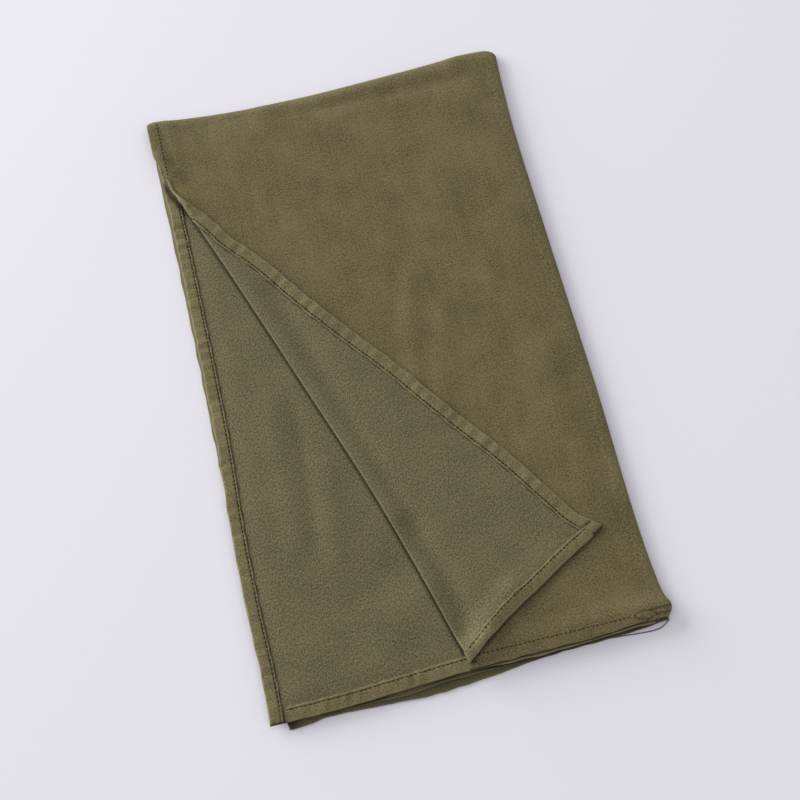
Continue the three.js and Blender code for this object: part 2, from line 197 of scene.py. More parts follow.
# %% Ridges of each face, the broad ones first as in the solids and then the finer ones
CORE_RIDGES = [
    Ridge([(-94, 92), (-80, 47), (-60, -29), (-38, -103), (-20, -165)], 10, -1.4),
    Ridge([(-24, -160), (-9, -210), (-1, -240), (-1, -264)], 11, -3.0),
    Ridge([(-52, -262), (-20, -268)], 16, -0.9),
    Ridge([(-82, -209), (-43, -196)], 17, -1.3),
    Ridge([(-160, -262), (-122, -268)], 12, -0.8),
]
TOP_RIDGES = [
    Ridge([(-60, 283), (130, 286)], 11, 2.0),
    Ridge([(-174, 280), (-150, 286)], 14, 1.0),
    Ridge([(163, 225), (140, 60)], 22, 0.8),
    Ridge([(58, 40), (34, -50)], 12, 0.9),
    Ridge([(31, 70), (15, -20)], 10, 0.9),
    Ridge([(-90, 225), (-40, 180)], 30, 0.8),
    Ridge([(146, -281), (160, -279)], 8, 1.2),
    Ridge([(-18, 270), (42, 271), (132, 272)], 8, -1.3),
    Ridge([(-163, 284), (-161, 262), (-158, 243)], 5, -1.3),
    Ridge([(-170, 250), (-164, 234)], 9, 1.6),
    Ridge([(27, 88), (4, 26)], 8, -0.4),
    Ridge([(87, 26), (58, -48)], 9, -0.4),
    Ridge([(68, 99), (135, 132)], 12, -0.5),
    Ridge([(139, -28), (135, -107), (140, -185)], 16, 0.8),
    Ridge([(146, -284), (157, -285)], 3, 0.9),
]
CORNER_RIDGES = [
    Ridge([(-60, 55), (5, -60)], 26, 0.9),
    Ridge([(12, -270), (27, -252), (45, -237)], 11, 3.6),
    Ridge([(60, -232), (90, -212)], 13, 1.2),
    Ridge([(-2, -290), (4, -276)], 13, 2.0),
    Ridge([(60, -160), (20, -130)], 24, 0.7),
    Ridge([(-172, 226), (-158, 200)], 14, 3.2),
    Ridge([(-11, -66), (25, -68)], 8, 0.3),
    Ridge([(-146, 175), (-117, 105), (-78, -9), (-51, -92), (-26, -171), (-10, -225)], 8, 0.9),
]
SECOND_RIDGES = [
    Ridge([(-120, -20), (-124, -150)], 13, 1.3),
    Ridge([(-84, -90), (-92, -170)], 12, 1.0),
    Ridge([(-62, -250), (-20, -215)], 16, 0.8),
    Ridge([(-99, -30), (-105, -125), (-108, -152)], 6, -0.5),
]
print("ridges on each layer:", [len(r) for r in (CORE_RIDGES, SECOND_RIDGES, TOP_RIDGES, CORNER_RIDGES)])

# %% [markdown]
# ## How high each layer lies
#
# The layers lie on each other, so each height is the one below it plus a cloth and a gap. Where a hem lies
# under a cloth, the cloth is lifted over it and comes down again within a finger's width. These are the same
# rules that shaped the solids, so a sheet made from them sits in its solid's place.

# %% Heights of the faces
HEM_CLEAR = HEM + 1.5
HEM_SLOPE = 18.0
FOLD_START = np.array([LEFT, FRONT + CORNER_ALONG_SIDE])
FOLD_END = np.array([LEFT + CORNER_ALONG_END, FRONT])
FOLD_MARGIN = 5.0
FOLD_REACH = 30.0


def over_hem(from_edge):
    return 1 - ease((from_edge - HEM_CLEAR) / HEM_SLOPE)


def core_top(x, y):
    puffed = ease((right_edge(y) - x) / RIGHT_REACH)
    for from_edge in (x - second_left(y), y - second_front(x), back_edge(x) - y):
        puffed = puffed * ease(from_edge / PUFF_REACH)
    return EDGE_HEIGHT + puffed * (PUFF + soft_lines(CORE_RIDGES, x, y))


def second_top(x, y):
    return core_top(x, y) + LIFT + soft_lines(SECOND_RIDGES, x, y)


def face_top(x, y):
    second_hems = np.maximum(over_hem(x - second_left(y)), over_hem(y - second_front(x)))
    past_fold = ease((y - FOLD_START[1] + FOLD_MARGIN) / FOLD_REACH)
    own_hems = np.maximum(over_hem(y - FRONT), over_hem(x - LEFT) * past_fold)
    underside = second_top(x, y) + GAP + LIFT * (second_hems + own_hems) + soft_lines(TOP_RIDGES, x, y)
    return underside + WALL


def corner_top(x, y):
    return face_top(x, y) + LIFT + soft_lines(CORNER_RIDGES, x, y)


print("heights of core, second face and top face at the middle, mm:",
      [float(top(0.0, 0.0).round(2)) for top in (core_top, second_top, face_top)])

# %% [markdown]
# ## The fold of the turned corner
#
# The corner is a flap that rolls over a slanting line. A point of the flap is named by two lengths on the
# flat cloth: how far it is along the fold, and how far round it has come from where the roll leaves the face
# below. The roll takes up the height between the two cloths. Near the far end of the fold the flap is
# narrower than half the roll, so there the edge only stands up, and that is the twist seen where the hem
# crosses over.

# %% Points on the turned corner
FOLD_LENGTH = float(np.hypot(*(FOLD_END - FOLD_START)))
ALONG_FOLD = (FOLD_END - FOLD_START) / FOLD_LENGTH
ACROSS_FOLD = np.array([-ALONG_FOLD[1], ALONG_FOLD[0]])
TIP_STRAY_ALONG, TIP_STRAY_ACROSS = 4.5, 0.8
TIP_ALONG = CORNER_ALONG_SIDE**2 / FOLD_LENGTH + TIP_STRAY_ALONG
TIP_ACROSS = CORNER_ALONG_SIDE * CORNER_ALONG_END / FOLD_LENGTH + TIP_STRAY_ACROSS
ROW_SLANT = (TIP_ALONG - FOLD_LENGTH) / TIP_ACROSS
LONG_SLANT = TIP_ACROSS / TIP_ALONG
TWIST_SHARE = 0.06
LEAST_WIDTH = 0.02
TIP_ROUNDING = 2.5
TIP_ROUNDING_REACH = 14.0
ROUNDED_FROM, ROUNDED_OVER = 0.9, 0.1
STRAYED_FROM, STRAYED_OVER = 0.8, 0.18
fold_stray = curve_through([0, 0.03, 0.06, 0.1, 0.17, 0.23, 0.48, 0.67, 0.8, 0.89, 0.95, 1],
                           [3.5, 4.6, 5.8, 6.3, 7.4, 8.1, 9.2, 9.6, 7, 4, 2, 0.8])
long_hem_stray = curve_through([0, 0.02, 0.04, 0.06, 0.083, 0.11, 0.18, 0.25, 0.36, 0.45, 0.55, 0.68, 0.8,
                                0.9, 0.96, 1],
                               [-2, -3.5, -4.5, -4.3, -2.6, -0.5, -2, 0.3, -1.5, -1.5, 0, -1.2, -0.8, -4, -5,
                                0.5])
end_hem_stray = curve_through([-5, 0, 25, 54, 92, 131, 160, 178], [1, 2, 5.6, 5.8, 2.8, 0, -3, -2.5])


def from_fold(along, across):
    x = FOLD_START[0] + ALONG_FOLD[0] * along + ACROSS_FOLD[0] * across
    y = FOLD_START[1] + ALONG_FOLD[1] * along + ACROSS_FOLD[1] * across
    return x, y


def fold_radius(share):
    radius = np.full(np.shape(share), WALL)
    for _ in range(3):
        x, y = from_fold(share * FOLD_LENGTH, fold_stray(share) + radius)
        radius = (corner_top(x, y) - face_top(x, y) + CLOTH) / 2
    return radius


def edge_way(share):
    """How far round the flap's long edge has come, from 0 where the flap starts."""
    folded_in = fold_stray(share) * ease(share / (1.5 * TWIST_SHARE))
    width = share * TIP_ACROSS + long_hem_stray(share) - folded_in
    return np.maximum(width, LEAST_WIDTH) + (np.pi - 1) * fold_radius(share) * ease(share / TWIST_SHARE)


def on_flap(share, round_way, lift):
    """A point on the turned corner, lifted off its outer side. One share makes a row along the end hem."""
    radius = fold_radius(share)
    rounded = TIP_ROUNDING * near(round_way, TIP_ROUNDING_REACH) * ease((share - ROUNDED_FROM) / ROUNDED_OVER)
    set_back = rounded + end_hem_stray(round_way) * ease((share - STRAYED_FROM) / STRAYED_OVER)
    along = share * FOLD_LENGTH + ROW_SLANT * (round_way - np.pi * radius / 2) - set_back
    turned = np.clip(round_way / radius, 0, np.pi)
    past = np.maximum(round_way - np.pi * radius, 0)
    before = np.maximum(-round_way, 0)
    seat = fold_stray(share) + radius
    x, y = from_fold(along, seat - (radius + lift) * np.sin(turned) + past + before)
    seat_x, seat_y = from_fold(along, seat)
    rolled = corner_top(seat_x, seat_y) - radius - (radius + lift) * np.cos(turned)
    z = np.where(past > 0, corner_top(x, y) + lift, rolled)
    z = np.where(before > 0, face_top(x, y) - CLOTH - lift, z)
    return np.stack([x, y, z], axis=-1)


DARKEST = 0.95
FOOT_OUTSIDE_FOLD = 1.0
foot_shares = np.linspace(0.08, 0.98, 19)
foot_line = from_fold(foot_shares * FOLD_LENGTH, fold_stray(foot_shares) - FOOT_OUTSIDE_FOLD)
FOLD_FOOT = Shade(list(zip(*foot_line)), 1.3, DARKEST)
OPENING = Shade([(-171, 224), (-166, 210), (-159, 196), (-155, 188)], 2.8, DARKEST)
END_WAY = float(edge_way(np.array(1.0)))
FOOT_BEFORE_HEM = 0.8
end_ways = np.linspace(3, END_WAY - 2, 9)
end_line = on_flap(np.ones(len(end_ways)), end_ways, 0.0)
END_HEM_FOOT = Shade([(x, y - FOOT_BEFORE_HEM) for x, y, _ in end_line], 1.9, 0.65)


def under_fold(x, y):
    """Painted shade on the second face: a line at the fold's foot and the deep opening where it starts."""
    return np.maximum(soft_lines([FOLD_FOOT], x, y), soft_lines([OPENING], x, y))


print("fold length, mm:", round(FOLD_LENGTH, 1), " roll radius, mm:",
      fold_radius(np.array([0.02, 0.3, 0.9, 1.0])).round(2))

# %% [markdown]
# ## Making a sheet
#
# A sheet starts as a flat grid of squares, and each of its points is then laid where the cloth goes. The
# grid keeps its own flat places as a UV map in metres of the cut, so that the weave follows the cloth round
# every fold. A Solidify modifier gives it its thickness on the inner side.

# %% Helpers that lay a grid
HALF_GRID = 0.5


def set_mark(mesh, name, values):
    attribute = mesh.attributes.new(name, "FLOAT", "POINT")
    spread = np.broadcast_to(values, (len(mesh.vertices),))
    attribute.data.foreach_set("value", np.clip(spread, 0, 1).astype(np.float32))


def add_piece(name, mesh):
    """A smooth object of the mesh, in the scene."""
    mesh.polygons.foreach_set("use_smooth", np.ones(len(mesh.polygons), bool))
    mesh.update()
    piece = bpy.data.objects.new(name, mesh)
    bpy.context.scene.collection.objects.link(piece)
    return piece


def lay_grid(name, columns, rows, place, thickness=CLOTH):
    """place(column, row) gives points and flat places in mm, wear with painted highlight, and painted shade.
    """
    bm = bmesh.new()
    bmesh.ops.create_grid(bm, x_segments=columns, y_segments=rows, size=HALF_GRID)
    mesh = bpy.data.meshes.new(name)
    bm.to_mesh(mesh)
    bm.free()
    count = len(mesh.vertices)
    flat = np.empty(count * 3, np.float32)
    mesh.vertices.foreach_get("co", flat)
    flat = flat.reshape(-1, 3).astype(float) + HALF_GRID
    column = np.rint(flat[:, 0] * columns).astype(int)
    row = np.rint(flat[:, 1] * rows).astype(int)
    points, cut, worn, shaded = place(column, row)
    points = (points + TO_FRAME) * MM
    mesh.vertices.foreach_set("co", points.astype(np.float32).ravel())
    corners = np.empty(len(mesh.loops), np.int32)
    mesh.loops.foreach_get("vertex_index", corners)
    uv = mesh.uv_layers.new(name="Cut")
    uv.data.foreach_set("uv", (np.stack(cut, -1)[corners] * MM).astype(np.float32).ravel())
    set_mark(mesh, "worn", worn)
    set_mark(mesh, "shaded", shaded)
    piece = add_piece(name, mesh)
    solidify = piece.modifiers.new("cloth", "SOLIDIFY")
    solidify.thickness = thickness * MM
    solidify.offset = -1
    print(name, "-", count, "points")
    return piece


def turned_under(radius, tuck, count):
    """A cloth edge turned under: distances in from the edge, and depths below the upper side."""
    angles = np.linspace(-np.pi / 2, np.pi / 2, count)
    inward = np.concatenate([[tuck, tuck / 2], radius - radius * np.cos(angles)])
    depth = np.concatenate([[2 * radius] * 2, radius - radius * np.sin(angles)])
    return inward, depth


# %% [markdown]
# ## Top face
#
# The upper cloth of the top pair lies right side up. It turns down over the long fold at the right and over
# the far fold, and its front edge and the free part of its left edge are turned under for the hems. The
# columns of the grid are the left edge, the flat stretch and the right roll; the rows are the front edge, the
# flat stretch and the far roll. Both stretches have finer squares near the front right corner, where the
# small pucker is.

# %% Top face cloth
Roll = namedtuple("Roll", "shoulder tuck end")
RIGHT_ROLL = Roll(13.0, 3.0, 2.15)
BACK_ROLL = Roll(10.0, 3.0, 1.1)
ROLL_TURN = np.radians(150)
ROLL_STEPS = 12
RIGHT_ROLL_CUT, BACK_ROLL_CUT = 14.0, 16.0
ROLL_WEAR_AND_HIGHLIGHT = 0.35
EDGE_RADIUS = 0.7
EDGE_TUCK = 3.0
EDGE_POINTS = 7
EDGE_SHOWS = 0.05
EDGE_IN, EDGE_DEPTH = turned_under(EDGE_RADIUS, EDGE_TUCK, EDGE_POINTS)
EDGE_STEPS = len(EDGE_IN) - 1
FACE_FLAT_COLUMNS = 146
FACE_FLAT_ROWS = 240
FINE_STEPS = 36
FINE_WIDTH = 36.0
FRONT_STRAY_REACH = 60.0
PUCKER_LINES = [
    [(141, -283), (145, -281), (150, -280.2), (155.5, -281.6), (159, -284), (162, -286.8)],
    [(141, -284), (146, -287), (151.5, -288.5), (156, -287.6)],
    [(155, -280.8), (163, -280.7), (173, -279.6)],
]
TOP_SHADES = [
    *[Shade(line, 0.75, 0.85) for line in PUCKER_LINES],
    Shade([(-161, 290), (-160, 262), (-157, 240), (-150, 222)], 4.5, 0.2),
    END_HEM_FOOT,
]
TWIST_LENGTH = 24.0
TWIST_MARGIN = 4.0


def face_left(y):
    """Where the top face starts: the left edge, and below the fold's start the foot of the roll."""
    share = (FOLD_START[1] - y) / -ALONG_FOLD[1] / FOLD_LENGTH
    foot = (fold_stray(share) + fold_radius(np.maximum(share, 0))) / ACROSS_FOLD[0]
    beside = mix(FOLD_START[0], FOLD_END[0], share) + foot
    above = LEFT + foot * (1 - ease((y - FOLD_START[1]) / TWIST_LENGTH))
    return np.where(y < FOLD_START[1], beside, above)


def rolled(x, y, over_right, over_back, inset):
    """A point of the top face, past the flat part by shares of the right and the back roll."""
    turned = np.maximum(over_right, over_back)
    largest = np.maximum(turned, 1e-9)
    quarter = np.pi / 4
    heading = np.where(over_right >= over_back, quarter * over_back / largest,
                       2 * quarter - quarter * over_right / largest)
    angle = turned * ROLL_TURN
    upper = face_top(x, y)
    end = mix(RIGHT_ROLL.end, BACK_ROLL.end, np.sin(heading) ** 2)
    drop = (upper - end) / (1 - np.cos(ROLL_TURN))

    def outward(roll):
        reach = np.where(angle <= np.pi / 2, roll.shoulder, roll.tuck) - inset
        return roll.shoulder - inset - reach * (1 - np.sin(angle))

    flat = turned == 0
    out_x = np.where(flat, 0, outward(RIGHT_ROLL) * np.cos(heading))
    out_y = np.where(flat, 0, outward(BACK_ROLL) * np.sin(heading))
    z = np.where(flat, upper - inset, upper - drop + (drop - inset) * np.cos(angle))
    return np.stack([x + out_x, y + out_y, z], axis=-1)


def place_top_face(column, row):
    edge_column = np.minimum(column, EDGE_STEPS)
    edge_row = np.minimum(row, EDGE_STEPS)
    coarse = FACE_FLAT_COLUMNS - FINE_STEPS
    across = np.interp(column - EDGE_STEPS, [0, coarse, FACE_FLAT_COLUMNS],
                       [0, 1 - FINE_WIDTH / (RIGHT - LEFT), 1])
    up = np.interp(row - EDGE_STEPS, [0, FINE_STEPS, FACE_FLAT_ROWS], [0, FINE_WIDTH / (BACK - FRONT), 1])
    over_right = np.maximum(column - EDGE_STEPS - FACE_FLAT_COLUMNS, 0) / ROLL_STEPS
    over_back = np.maximum(row - EDGE_STEPS - FACE_FLAT_ROWS, 0) / ROLL_STEPS
    y0 = mix(FRONT + EDGE_IN[edge_row], BACK - BACK_ROLL.shoulder, up)
    free_edge = ease((y0 - FOLD_START[1]) / TWIST_LENGTH)
    step_in = mix(EDGE_RADIUS * edge_column / EDGE_STEPS, EDGE_IN[edge_column], free_edge)
    x0 = mix(face_left(y0) + step_in, right_edge(y0) - RIGHT_ROLL.shoulder, across)
    strayed = y0 + back_stray(x0) * ease((y0 - FOLD_START[1] - FOLD_MARGIN) / FOLD_REACH)
    strayed = strayed + top_front_stray(x0) * (1 - ease((y0 - FRONT) / FRONT_STRAY_REACH))
    inset = np.maximum(EDGE_DEPTH[edge_column] * free_edge, EDGE_DEPTH[edge_row])
    points = rolled(x0, strayed, over_right, over_back, inset)
    cut = (x0 + over_right * RIGHT_ROLL_CUT, y0 + over_back * BACK_ROLL_CUT)
    # Turned-under edges, the rolls' crests and the twist are lighter: partly wear and partly painted
    # highlight.
    worn = np.maximum(inset > EDGE_SHOWS, ROLL_WEAR_AND_HIGHLIGHT * np.sin(np.pi * np.maximum(over_right, over_back)))
    from_twist = abs(y0 - FOLD_START[1] - TWIST_LENGTH / 2)
    at_twist = (column <= EDGE_STEPS + 1) & (from_twist < TWIST_LENGTH / 2 + TWIST_MARGIN)
    return points, cut, np.maximum(worn, at_twist), soft_lines(TOP_SHADES, x0, strayed)


top_face = lay_grid("top_face_cloth", EDGE_STEPS + FACE_FLAT_COLUMNS + ROLL_STEPS,
                    EDGE_STEPS + FACE_FLAT_ROWS + ROLL_STEPS, place_top_face)

# %% [markdown]
# ## Turned corner
#
# The flap shows the wrong side of the cloth. Its columns run round the roll and on to the long edge, and its
# rows run parallel to the end hem and shrink to nothing where the fold starts. The lower half of the roll has
# painted shade, because hardly any light gets there, and its crest is lighter, partly from wear and partly as
# a painted highlight.

# %% Turned corner cloth
FLAP_ROLL_COLUMNS = 14
FLAP_FLAT_COLUMNS = 78
FLAP_ROWS = 250
FLAP_START = 0.004
RIM_INSET = 0.5
LEAST_KEPT = 0.3
CREST_TURN, CREST_WEAR_AND_HIGHLIGHT = 2.4, 0.7
FOLD_SHADE, SHADE_TURN, SHADE_FADE = 0.9, 1.2, 0.75


def place_turned_corner(column, row):
    share = mix(1 - RIM_INSET / FOLD_LENGTH, FLAP_START, row / FLAP_ROWS)
    radius = fold_radius(share)
    edge = np.maximum(edge_way(share) - RIM_INSET, LEAST_KEPT * edge_way(share))
    on_bend = np.minimum(np.pi * radius, edge)
    bend = np.minimum(column / FLAP_ROLL_COLUMNS, 1)
    flat = np.clip((column - FLAP_ROLL_COLUMNS) / FLAP_FLAT_COLUMNS, 0, 1)
    round_way = on_bend * bend + (edge - on_bend) * flat
    points = on_flap(share, round_way, 0.0)
    crest = near(round_way / radius - CREST_TURN, 1.0)
    shaded = FOLD_SHADE * (1 - ease((round_way / radius - SHADE_TURN) / SHADE_FADE))
    return points, (round_way, share * FOLD_LENGTH + ROW_SLANT * round_way), CREST_WEAR_AND_HIGHLIGHT * crest, shaded


turned_corner = lay_grid("turned_corner_cloth", FLAP_ROLL_COLUMNS + FLAP_FLAT_COLUMNS, FLAP_ROWS,
                         place_turned_corner)

# %% [markdown]
# ## Second face
#
# The lower cloth of the top pair shows where the corner uncovers it. Only its left half shows, so the grid
# is fine there and coarse under the top face.

# %% Second face cloth
SECOND_COLUMNS = 190
SECOND_ROWS = 210
SECOND_LENGTH = 580.0
SHOWN_WIDTH = 190.0
SHOWN_COLUMNS = 0.85
SECOND_RIGHT_IN = 10.0
SECOND_BACK_IN = 8.0


def second_plan(x_share, y_share):
    y0 = mix(FRONT, BACK - BACK_ROLL.shoulder - SECOND_BACK_IN / 2, y_share)
    x = mix(second_left(y0), right_edge(y0) - SECOND_RIGHT_IN, x_share)
    return x, mix(second_front(x), BACK - BACK_ROLL.shoulder - SECOND_BACK_IN, y_share)


def place_second_face(column, row):
    half_width = CLOTH_WIDTH / 2
    x_share = np.interp(column / SECOND_COLUMNS, [0, SHOWN_COLUMNS, 1],
                        [RIM_INSET / half_width, SHOWN_WIDTH / half_width, 1])
    x, y = second_plan(x_share, mix(RIM_INSET / SECOND_LENGTH, 1, row / SECOND_ROWS))
    worn = 0.0
    return np.stack([x, y, second_top(x, y)], axis=-1), (x, y), worn, under_fold(x, y)


second_face = lay_grid("second_face_cloth", SECOND_COLUMNS, SECOND_ROWS, place_second_face)

# %% [markdown]
# ## Hems
#
# Each hem is the cloth's own edge turned twice to the wrong side and stitched down. It could be a plain
# raised strip, but the real one is a flattened loop: it comes round the outer edge, crosses to the inner
# fold, and tucks back under itself. So the section below is drawn as that path, and the grid's columns follow
# it while its rows follow the edge. Each stitch pulls the cloth down a little, and between the stitches it
# puffs up.

# %% Section of a hem
STITCH_FROM_EDGE = 9.8
STITCH_PITCH = 4.0
HEM_TOP = 1.05
HEM_SHELL = 0.35
HEM_UNDER = CLOTH + HEM_SHELL
UNDER_STOPS = [3.5, 1.6]
OUTER_POINTS = 9
OUTER_CENTRE, OUTER_BULGE = 0.8, 1.05
TOP_STOPS = [1.6, 2.6, 4, 5.5, 6.8, 7.8, 8.5, 9, 9.3, 9.8, 10.3, 10.8]
# The shade of each step is painted shade, darkest at the root of the seam where the fold meets the panel.
FootStop = namedtuple("FootStop", "inward height shade")
FOOT_STOPS = [FootStop(11.25, 1.0, 0.1), FootStop(11.6, 0.75, 0.6), FootStop(12.0, 0.4, 1.0),
              FootStop(12.5, 0.12, 1.0), FootStop(12.8, 0.0, 0.8)]
GROOVE_WIDTH = 0.45


def hem_section(wrapped, under):
    """Distances in from the outer edge, heights and shades, from under the edge round to the inner foot."""
    half = (HEM_TOP + (HEM_UNDER if wrapped else 0.0)) / 2
    middle = HEM_TOP - half
    outer = np.radians(np.linspace(-90, -270, OUTER_POINTS))
    inward = [*UNDER_STOPS, *(OUTER_CENTRE + OUTER_BULGE * np.cos(outer)), *TOP_STOPS]
    height = [middle - half] * len(UNDER_STOPS)
    height += [*(middle + half * np.sin(outer))] + [HEM_TOP] * len(TOP_STOPS)
    shaded = [under] * len(UNDER_STOPS)
    shaded += [*(under * np.clip(0.5 - 0.9 * np.sin(outer), 0, 1))]
    shaded += [near(stop - STITCH_FROM_EDGE, GROOVE_WIDTH) for stop in TOP_STOPS]
    for stop, lift, shade in FOOT_STOPS:
        inward.append(stop)
        height.append(lift)
        shaded.append(shade)
    return np.array(inward), np.array(height), np.array(shaded), middle


# %% Stitch pull, puff and ripples of a hem
PULL_DEPTH, PULL_WIDTH = 0.4, 0.7
TIGHT_HEIGHT, TIGHT_WIDTH = 0.22, 1.9
HEM_PUFF = 0.22
TIGHT_WAVE = Wave(0.5, 23)
SHORT_WAVE, LONG_WAVE = Wave(0.28, 13), Wave(0.1, 34)
OUTER_WAVE, INNER_WAVE = Wave(0.3, 26), Wave(0.35, 17)
FOOT_WAVE, FOOT_LEVEL = Wave(0.3, 19), 0.8
SEAM_WIDTH, SEAM_DEPTH = 1.1, 0.4
TAB_HEIGHT, TAB_SLOPE = 0.5, 1.2
END_ROUNDING = 1.5
END_SHADE = 1.6
OUTER_UP_TO, INNER_FROM, FOOT_FROM = 2.0, HEM - 1.5, 11.0
OUTER_LIP, OUTER_LIP_WIDTH = 0.2, 1.1
INNER_LIP, INNER_LIP_WIDTH = 11.1, 0.5


def make_hem(name, lay, start, end, seed, wrapped=True, step=1.0, tab=0.0, darken=None, widen=None, foot=0.8,
             groove=0.6, under=0.0):
    """lay(along, inward, lift) gives points in mm, along runs from start to end, and tab is a raised end."""
    inward, height, section_shade, middle = hem_section(wrapped, under)
    rows = int(abs(end - start) / step)
    top_side = (height > HEM_TOP - 0.01).astype(float)

    def place(column, row):
        along = mix(start, end, row / rows)
        stop = inward[column]
        tight = 0.5 * np.cos(2 * np.pi * along / STITCH_PITCH)
        puff = HEM_PUFF * np.sin(np.pi * np.clip(stop / STITCH_FROM_EDGE, 0, 1))
        pulled = -PULL_DEPTH * near(stop - STITCH_FROM_EDGE, PULL_WIDTH)
        beside_thread = TIGHT_HEIGHT * near(stop - STITCH_FROM_EDGE, TIGHT_WIDTH)
        pulled = pulled + beside_thread * tight * (1 + ripple(TIGHT_WAVE, along, seed))
        rippled = ripple(SHORT_WAVE, along, seed + 1) + ripple(LONG_WAVE, along, seed + 2)
        seam = near(along - end + tab, SEAM_WIDTH) if tab else 0.0
        raised = TAB_HEIGHT * ease((along - end + tab) / TAB_SLOPE) if tab else 0.0
        lift = height[column] + top_side[column] * (puff + pulled + rippled + raised - SEAM_DEPTH * seam)
        from_end = np.minimum(abs(along - start), abs(end - along))
        lift = middle + (lift - middle) * np.sqrt(1 - (1 - np.clip(from_end / END_ROUNDING, 0, 1)) ** 2)
        strayed = stop + ripple(OUTER_WAVE, along, seed + 3) * (stop < OUTER_UP_TO)
        strayed = strayed + ripple(INNER_WAVE, along, seed + 4) * (stop > INNER_FROM)
        if widen is not None:
            strayed = strayed * widen(along)
        points = lay(along, strayed, lift)
        # The outer edge and the inner lip are lighter, partly wear and partly painted highlight.
        worn = near(stop - OUTER_LIP, OUTER_LIP_WIDTH) + near(stop - INNER_LIP, INNER_LIP_WIDTH)
        # Painted shade in the stitch groove, round the outer edge below, at the foot and at the tab's seam,
        # and painted shadow under each end.
        at_foot = foot * (FOOT_LEVEL + ripple(FOOT_WAVE, along, seed + 5))
        strength = np.where(stop > FOOT_FROM, at_foot, np.where(stop > OUTER_UP_TO, groove, 1.0))
        shaded = section_shade[column] * strength + seam * top_side[column]
        shaded = shaded + DARKEST * near(from_end, END_SHADE)
        if darken is not None:
            shaded = shaded + darken(points[..., 0], points[..., 1])
        return points, (stop, along), worn, shaded

    return lay_grid(name, len(inward) - 1, rows, place, thickness=HEM_SHELL)


# %% Hems of the second face
def lay_second_long(y, inward, lift):
    x = second_left(y) + inward
    return np.stack([x, y, second_top(x, y) + lift], axis=-1)


def lay_second_end(x, inward, lift):
    y = second_front(x) + inward
    return np.stack([x, y, second_top(x, y) + lift], axis=-1)


TOP_EDGE_AHEAD, TOP_EDGE_WIDTH = 0.5, 0.9


def under_top_edge(x, y):
    """Painted shadow: the thin dark line where the top face's front edge lies on the hem below."""
    return DARKEST * near(y - top_front(x) + TOP_EDGE_AHEAD, TOP_EDGE_WIDTH) * (x > FOLD_END[0] - 2)


HEM_RIGHT_IN = 11.0
HEM_BACK_IN = 19.0
SECOND_LONG_START = float(second_front(second_left(-300.0)))
second_long_hem = make_hem("second_long_hem_band", lay_second_long, SECOND_LONG_START, BACK - HEM_BACK_IN,
                           seed=11, darken=under_fold)
second_end_hem = make_hem("second_end_hem_band", lay_second_end, float(right_edge(FRONT)) - HEM_RIGHT_IN,
                          float(second_left(FRONT)) + HEM + 1.0, seed=21, foot=0.35, groove=0.2,
                          under=DARKEST, darken=under_top_edge)


# %% Hems of the turned corner
LONG_HEM_LENGTH = float(np.hypot(TIP_ALONG, TIP_ACROSS))
CORNER_LONG_WIDTH = HEM * float(np.hypot(1, LONG_SLANT))
HEM_WIDENS_OVER = 0.02
END_HEM_SHARE = 0.94
NARROWER_BY, NARROW_UP_TO, NARROWS_OVER = 0.08, 10.0, 60.0


def lay_corner_long(along, inward, lift):
    share = along / LONG_HEM_LENGTH
    way = edge_way(share) - inward * float(np.hypot(1, LONG_SLANT)) * ease(share / HEM_WIDENS_OVER)
    return on_flap(share, way, lift)


def lay_corner_end(round_way, inward, lift):
    share = 1 - inward * float(np.hypot(1, ROW_SLANT)) / FOLD_LENGTH
    return on_flap(share, round_way, lift)


def narrower_at_fold(round_way):
    return END_HEM_SHARE - NARROWER_BY * (1 - ease((round_way - NARROW_UP_TO) / NARROWS_OVER))


TAB = 11.0
HEMS_OVERLAP = 1.5
corner_long_hem = make_hem("corner_long_hem_band", lay_corner_long, 3.0, LONG_HEM_LENGTH, seed=31, tab=TAB)
END_HEM_FROM = END_WAY - CORNER_LONG_WIDTH + HEMS_OVERLAP
corner_end_hem = make_hem("corner_end_hem_band", lay_corner_end, END_HEM_FROM, -4.0, seed=41,
                          widen=narrower_at_fold, foot=0.5, groove=0.2, under=DARKEST)


# %% Hems under the top face
BELOW_FACE = 0.1
SIDE_HEM_IN = 0.4


def lay_top_end(x, inward, lift):
    y = top_front(x) + inward
    return np.stack([x, y, face_top(x, y) - CLOTH - BELOW_FACE - lift], axis=-1)


def lay_top_side(y, inward, lift):
    x = face_left(y) + SIDE_HEM_IN + inward
    return np.stack([x, y, face_top(x, y) - CLOTH - BELOW_FACE - lift], axis=-1)


HIDDEN_STEP = 2.0
END_HEM_LEFT_IN = 2.0
SIDE_HEM_BACK_IN, SIDE_HEM_PAST_FOLD = 16.0, 12.0
top_end_hem = make_hem("top_face_end_hem_band", lay_top_end, float(face_left(FRONT)) + END_HEM_LEFT_IN,
                       float(right_edge(FRONT)) - HEM_RIGHT_IN, seed=51, wrapped=False, step=HIDDEN_STEP)
top_side_hem = make_hem("top_face_side_hem_band", lay_top_side, BACK - SIDE_HEM_BACK_IN,
                        FOLD_START[1] + SIDE_HEM_PAST_FOLD, seed=61, wrapped=False, step=HIDDEN_STEP)

# %% [markdown]
# ## The hidden layers
#
# Under the top pair lie four more layers, which are two folded cloths with their folds at the front. Only
# their edges show, so each is one sheet that runs forward along the bottom, round the front fold and back
# along the top, with its left edge turned in for its hem and its right edge turned in for the long fold. The
# fronts of the two lie a little apart, which draws the thin line between them, and at the left they peep out
# beside the hem. They are darkened just in front of the edge that lies on them, where no light gets in.

